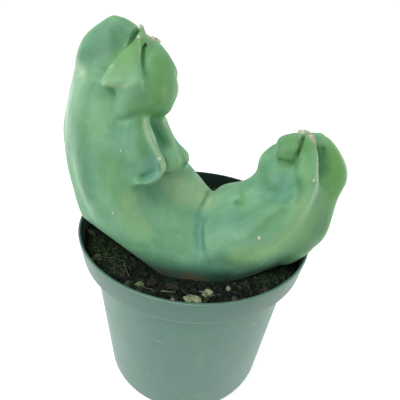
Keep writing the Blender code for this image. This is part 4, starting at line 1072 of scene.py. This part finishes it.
def fibres(skin, edge):
    """Thin curled strands of coir and root on the soil."""
    dice = random.Random(23)
    whole = bpy.data.curves.new("strands", "CURVE")
    whole.dimensions = "3D"
    whole.bevel_depth = 0.00011
    whole.bevel_resolution = 1
    for place in loose_places(70, dice, skin, edge, (0.0015, 0.004), 0.05, -0.12):
        length = place.to_scale().x * dice.uniform(1.2, 3.0)
        heading = dice.uniform(0, math.tau)
        at = place.translation.copy()
        bend = dice.uniform(-1.2, 1.2)
        points = []
        for i in range(9):
            points.append(at.copy())
            heading += bend / 4 + dice.uniform(-0.25, 0.25)
            step = length / 8
            at += Vector((math.cos(heading) * step, math.sin(heading) * step, 0))
            if math.hypot(at.x, at.y) > edge - 0.0006:
                break
            at.z = SOIL_TOP + relief(at.x / MM, at.y / MM) * MM + 0.0004 + 0.0008 * math.sin(i * 0.8) ** 2
            spot, normal, _, gap = skin.find_nearest(at)
            if gap < 0.0004 or (at - spot).dot(normal) < 0:
                break
        if len(points) < 4:
            continue
        strand = whole.splines.new("POLY")
        strand.points.add(len(points) - 1)
        for k, point in enumerate(points):
            strand.points[k].co = (*point, 1)
            strand.points[k].radius = 1 - 0.6 * k / len(points)
    for path, half in STRANDS:
        strand = whole.splines.new("POLY")
        steps = (len(path) - 1) * 6
        strand.points.add(steps)
        for k in range(steps + 1):
            strand.points[k].co = (*(Vector(catmull(path, k / 6)) * MM), 1)
            strand.points[k].radius = half * MM / whole.bevel_depth
    guide = bpy.data.objects.new("strands", whole)
    bpy.context.scene.collection.objects.link(guide)
    graph = bpy.context.evaluated_depsgraph_get()
    mesh = bpy.data.meshes.new_from_object(guide.evaluated_get(graph))
    bpy.data.objects.remove(guide)
    made = Finish("strands", roughness=0.8)
    tone = made.noise(120, detail=2)
    made.set("Base Color", made.blend(made.span(tone, 0.35, 0.65), colour(50, 50, 38), colour(124, 128, 102)))
    return new_object("root_strands", mesh, made.material)


# Stones, chips and stubs in view, as in the CAD. Rows: middle, radii, turn and roughness, in millimetres.
LOOSE = {
    "pale_stone": ((2.6, -44.4, 78.6), (3.8, 1.9, 1.5), (0, 6, -4), 0.35),
    "perlite_lump": ((7.4, -41.2, 79.6), (2.1, 1.4, 1.5), (0, 0, 15), 0.5),
    "green_pebble": ((-18.7, -39.8, 79.2), (1.6, 1.5, 1.7), (0, 0, 30), 0.3),
    "bark_chip": ((-14.2, -37.8, 79.4), (2.9, 1.5, 1.2), (0, 14, 55), 0.3),
    "dark_chip": ((-6.4, -39.4, 79.4), (3.2, 1.5, 1.3), (0, -10, -20), 0.3),
    "twig_stub": ((21.9, -36.6, 80.4), (0.9, 0.9, 3.4), (8, -6, 0), 0.15),
    "grey_bit": ((15.4, -37, 79.1), (1.1, 0.9, 0.8), (0, 0, 75), 0.3),
    "left_chip": ((-39.6, -26.2, 79.2), (2.6, 1.2, 1.0), (0, 6, 65), 0.3),
}


def loose_piece(name, index, material):
    centre, radii, turn, rough = LOOSE[name]
    bm = bmesh.new()
    bmesh.ops.create_icosphere(bm, subdivisions=6, radius=1.0)
    matrix = (
        Matrix.Translation(Vector(centre) * MM)
        @ Matrix.Rotation(math.radians(turn[2]), 4, "Z")
        @ Matrix.Rotation(math.radians(turn[1]), 4, "Y")
        @ Matrix.Rotation(math.radians(turn[0]), 4, "X")
    )
    for vert in bm.verts:
        shift = noise.noise(vert.co * 1.3 + Vector((3.7 * index, 0, 0)))
        pits = noise.noise(vert.co * 5 + Vector((0, index, 0))) * 0.25 + noise.noise(vert.co * 11) * 0.12
        point = vert.co * (1 + rough * (shift + pits))
        vert.co = matrix @ (Vector((point.x * radii[0], point.y * radii[1], point.z * radii[2])) * MM)
    return finished(name + "_shape", bm, material)


def mineral_finish(name, dark, light):
    made = Finish(name, roughness=0.85, Specular_IOR_Level=0.35)
    pits = made.noise(700, detail=5, roughness=0.7)
    broad = made.noise(220, detail=3)
    tint = made.blend(made.span(broad + pits * 0.6, 0.55, 1.0), dark, light)
    made.set("Base Color", tint)
    made.bump(pits, 0.0005, 0.7)
    return made.material


def bark_finish(name, dark, light):
    made = Finish(name, roughness=0.9, Specular_IOR_Level=0.3)
    grain = made.noise(260, detail=5, roughness=0.65, place=made.stretch((0.4, 1.6, 1.6)))
    fine = made.noise(1200, detail=3)
    tint = made.blend(made.span(grain, 0.32, 0.68), dark, light)
    tint = made.blend(made.span(fine, 0.6, 0.8) * 0.4, tint, colour(100, 92, 72))
    made.set("Base Color", tint)
    made.bump(grain + fine * 0.3, 0.0006, 0.8)
    return made.material


def tuft(bm, centre, normal, radius, dice):
    """A woolly spine cushion: a low pad with short hairs."""
    side = normal.orthogonal().normalized()
    frame_of = Matrix((side, normal.cross(side), normal)).transposed().to_4x4()
    pad = bmesh.ops.create_icosphere(bm, subdivisions=2, radius=1.0)["verts"]
    for vert in pad:
        shift = 1 + 0.3 * noise.noise(vert.co * 2.4 + centre * 3000)
        local = Vector((vert.co.x, vert.co.y, vert.co.z * 0.55)) * radius * shift
        vert.co = centre + frame_of.to_3x3() @ local
    for _ in range(70):
        lean = Vector((dice.gauss(0, 1), dice.gauss(0, 1), 0.9)).normalized()
        root = centre + frame_of.to_3x3() @ Vector((lean.x * 0.7, lean.y * 0.7, 0.2)) * radius
        way = frame_of.to_3x3() @ lean
        length = radius * dice.uniform(0.35, 0.9)
        matrix = Matrix.Translation(root + way * length / 2) @ way.to_track_quat("Z", "Y").to_matrix().to_4x4()
        bmesh.ops.create_cone(bm, segments=3, radius1=radius * 0.09, radius2=radius * 0.03, depth=length, cap_ends=True,
                              matrix=matrix)


def cushions(stem, wool):
    dice = random.Random(5)
    bm = bmesh.new()
    for centre, radius in CUSHIONS:
        wanted = (Vector(centre) + Vector((0, 0, RIM_HEIGHT / MM))) * MM
        _, spot, normal, _ = stem.closest_point_on_mesh(wanted)
        tuft(bm, spot, normal, radius * 0.75 * MM, dice)
    return finished("areole_wool", bm, wool)


def wool_finish():
    made = Finish("areole_wool", roughness=0.95)
    tone = made.noise(1500, detail=2)
    made.set("Base Color", made.blend(made.span(tone, 0.35, 0.65), colour(176, 180, 150), colour(240, 247, 232)))
    return made.material


def studio():
    """A white table that throws no light back, and white paper round it that only shows."""
    bm = bmesh.new()
    bmesh.ops.create_circle(bm, cap_ends=True, segments=64, radius=2.3)
    bmesh.ops.translate(bm, verts=bm.verts, vec=(0, 0, -0.0002))
    table = Finish("table", roughness=0.9, Emission_Color=(1, 1, 1, 1), Emission_Strength=0.55)
    table.shader.inputs["Base Color"].default_value = (0.85, 0.85, 0.84, 1)
    made = finished("floor", bm, table.material)
    made.visible_diffuse = False
    bm = bmesh.new()
    bmesh.ops.create_icosphere(bm, subdivisions=4, radius=2.5)
    paper = Finish("paper", Emission_Color=(1, 1, 1, 1), Emission_Strength=1.0)
    paper.shader.inputs["Base Color"].default_value = (0, 0, 0, 1)
    made = finished("backdrop", bm, paper.material)
    made.visible_diffuse = False
    made.visible_glossy = False
    made.visible_transmission = False
    made.visible_shadow = False


# Soft lamps. Rows: place, size and power.
LAMPS = {
    "key": ((-0.35, -0.35, 0.6), 0.35, 2.4),
    "fill": ((0.5, -0.2, 0.35), 0.4, 0.2),
    "left_rim": ((-0.47, 0.22, 0.06), 0.3, 1.0),
    "right_rim": ((0.46, 0.25, 0.06), 0.3, 1.5),
}


def lights():
    world = bpy.data.worlds.new("studio")
    bpy.context.scene.world = world
    world.use_nodes = True
    sky = world.node_tree.nodes["Background"]
    sky.inputs["Color"].default_value = (1.0, 1.0, 0.99, 1)
    sky.inputs["Strength"].default_value = 0.6
    for name, (place, size, power) in LAMPS.items():
        lamp = bpy.data.lights.new(name, "AREA")
        lamp.size = size
        lamp.energy = power
        obj = bpy.data.objects.new(name, lamp)
        aim = Vector((0, 0, 0.08)) - Vector(place)
        obj.matrix_world = Matrix.Translation(place) @ aim.to_track_quat("-Z", "Y").to_matrix().to_4x4()
        bpy.context.scene.collection.objects.link(obj)
    bpy.context.scene.view_settings.view_transform = "Standard"


def camera():
    lens = bpy.data.cameras.new("camera")
    lens.lens = CAMERA_LENS
    lens.sensor_width = 36
    lens.clip_start = 0.005
    obj = bpy.data.objects.new("camera", lens)
    tilt = Matrix.Rotation(math.radians(90 - CAMERA_DOWN), 4, "X")
    obj.matrix_world = Matrix.Translation(CAMERA_PLACE) @ tilt @ Matrix.Rotation(math.radians(CAMERA_ROLL), 4, "Z")
    bpy.context.scene.collection.objects.link(obj)
    bpy.context.scene.camera = obj


def stand_for(piece, slot, *nodes):
    """The piece rides on the part's one body and stands for these CAD nodes."""
    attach(piece, "root")
    if nodes:
        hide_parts(*nodes)


def main():
    camera()
    lights()
    studio()
    stem = plant(skin_finish())
    stand_for(stem, "cactus_skin", "cactus")
    stand_for(cushions(stem, wool_finish()), "cactus_skin")
    stand_for(pot(plastic_finish()), "pot_plastic", "pot")
    mix, skin, edge = soil(stem, earth_finish())
    stand_for(mix, "soil", "soil")
    for piece in grit(skin, edge):
        stand_for(piece, "soil")
    stand_for(fibres(skin, edge), "soil")
    pale = mineral_finish("pale_mineral", colour(88, 98, 72), colour(186, 194, 156))
    green = mineral_finish("green_mineral", colour(56, 76, 48), colour(132, 150, 108))
    bark = bark_finish("bark", colour(20, 22, 18), colour(66, 58, 46))
    tan = bark_finish("tan_bark", colour(44, 52, 38), colour(112, 114, 88))
    finishes = {"pale_stone": pale, "perlite_lump": pale, "grey_bit": pale, "green_pebble": green, "left_chip": tan}
    slots = {"pale_stone": "pale_mineral", "perlite_lump": "pale_mineral", "grey_bit": "pale_mineral",
             "green_pebble": "green_mineral"}
    for index, name in enumerate(LOOSE):
        stand_for(loose_piece(name, index, finishes.get(name, bark)), slots.get(name, "bark"), name)


main()
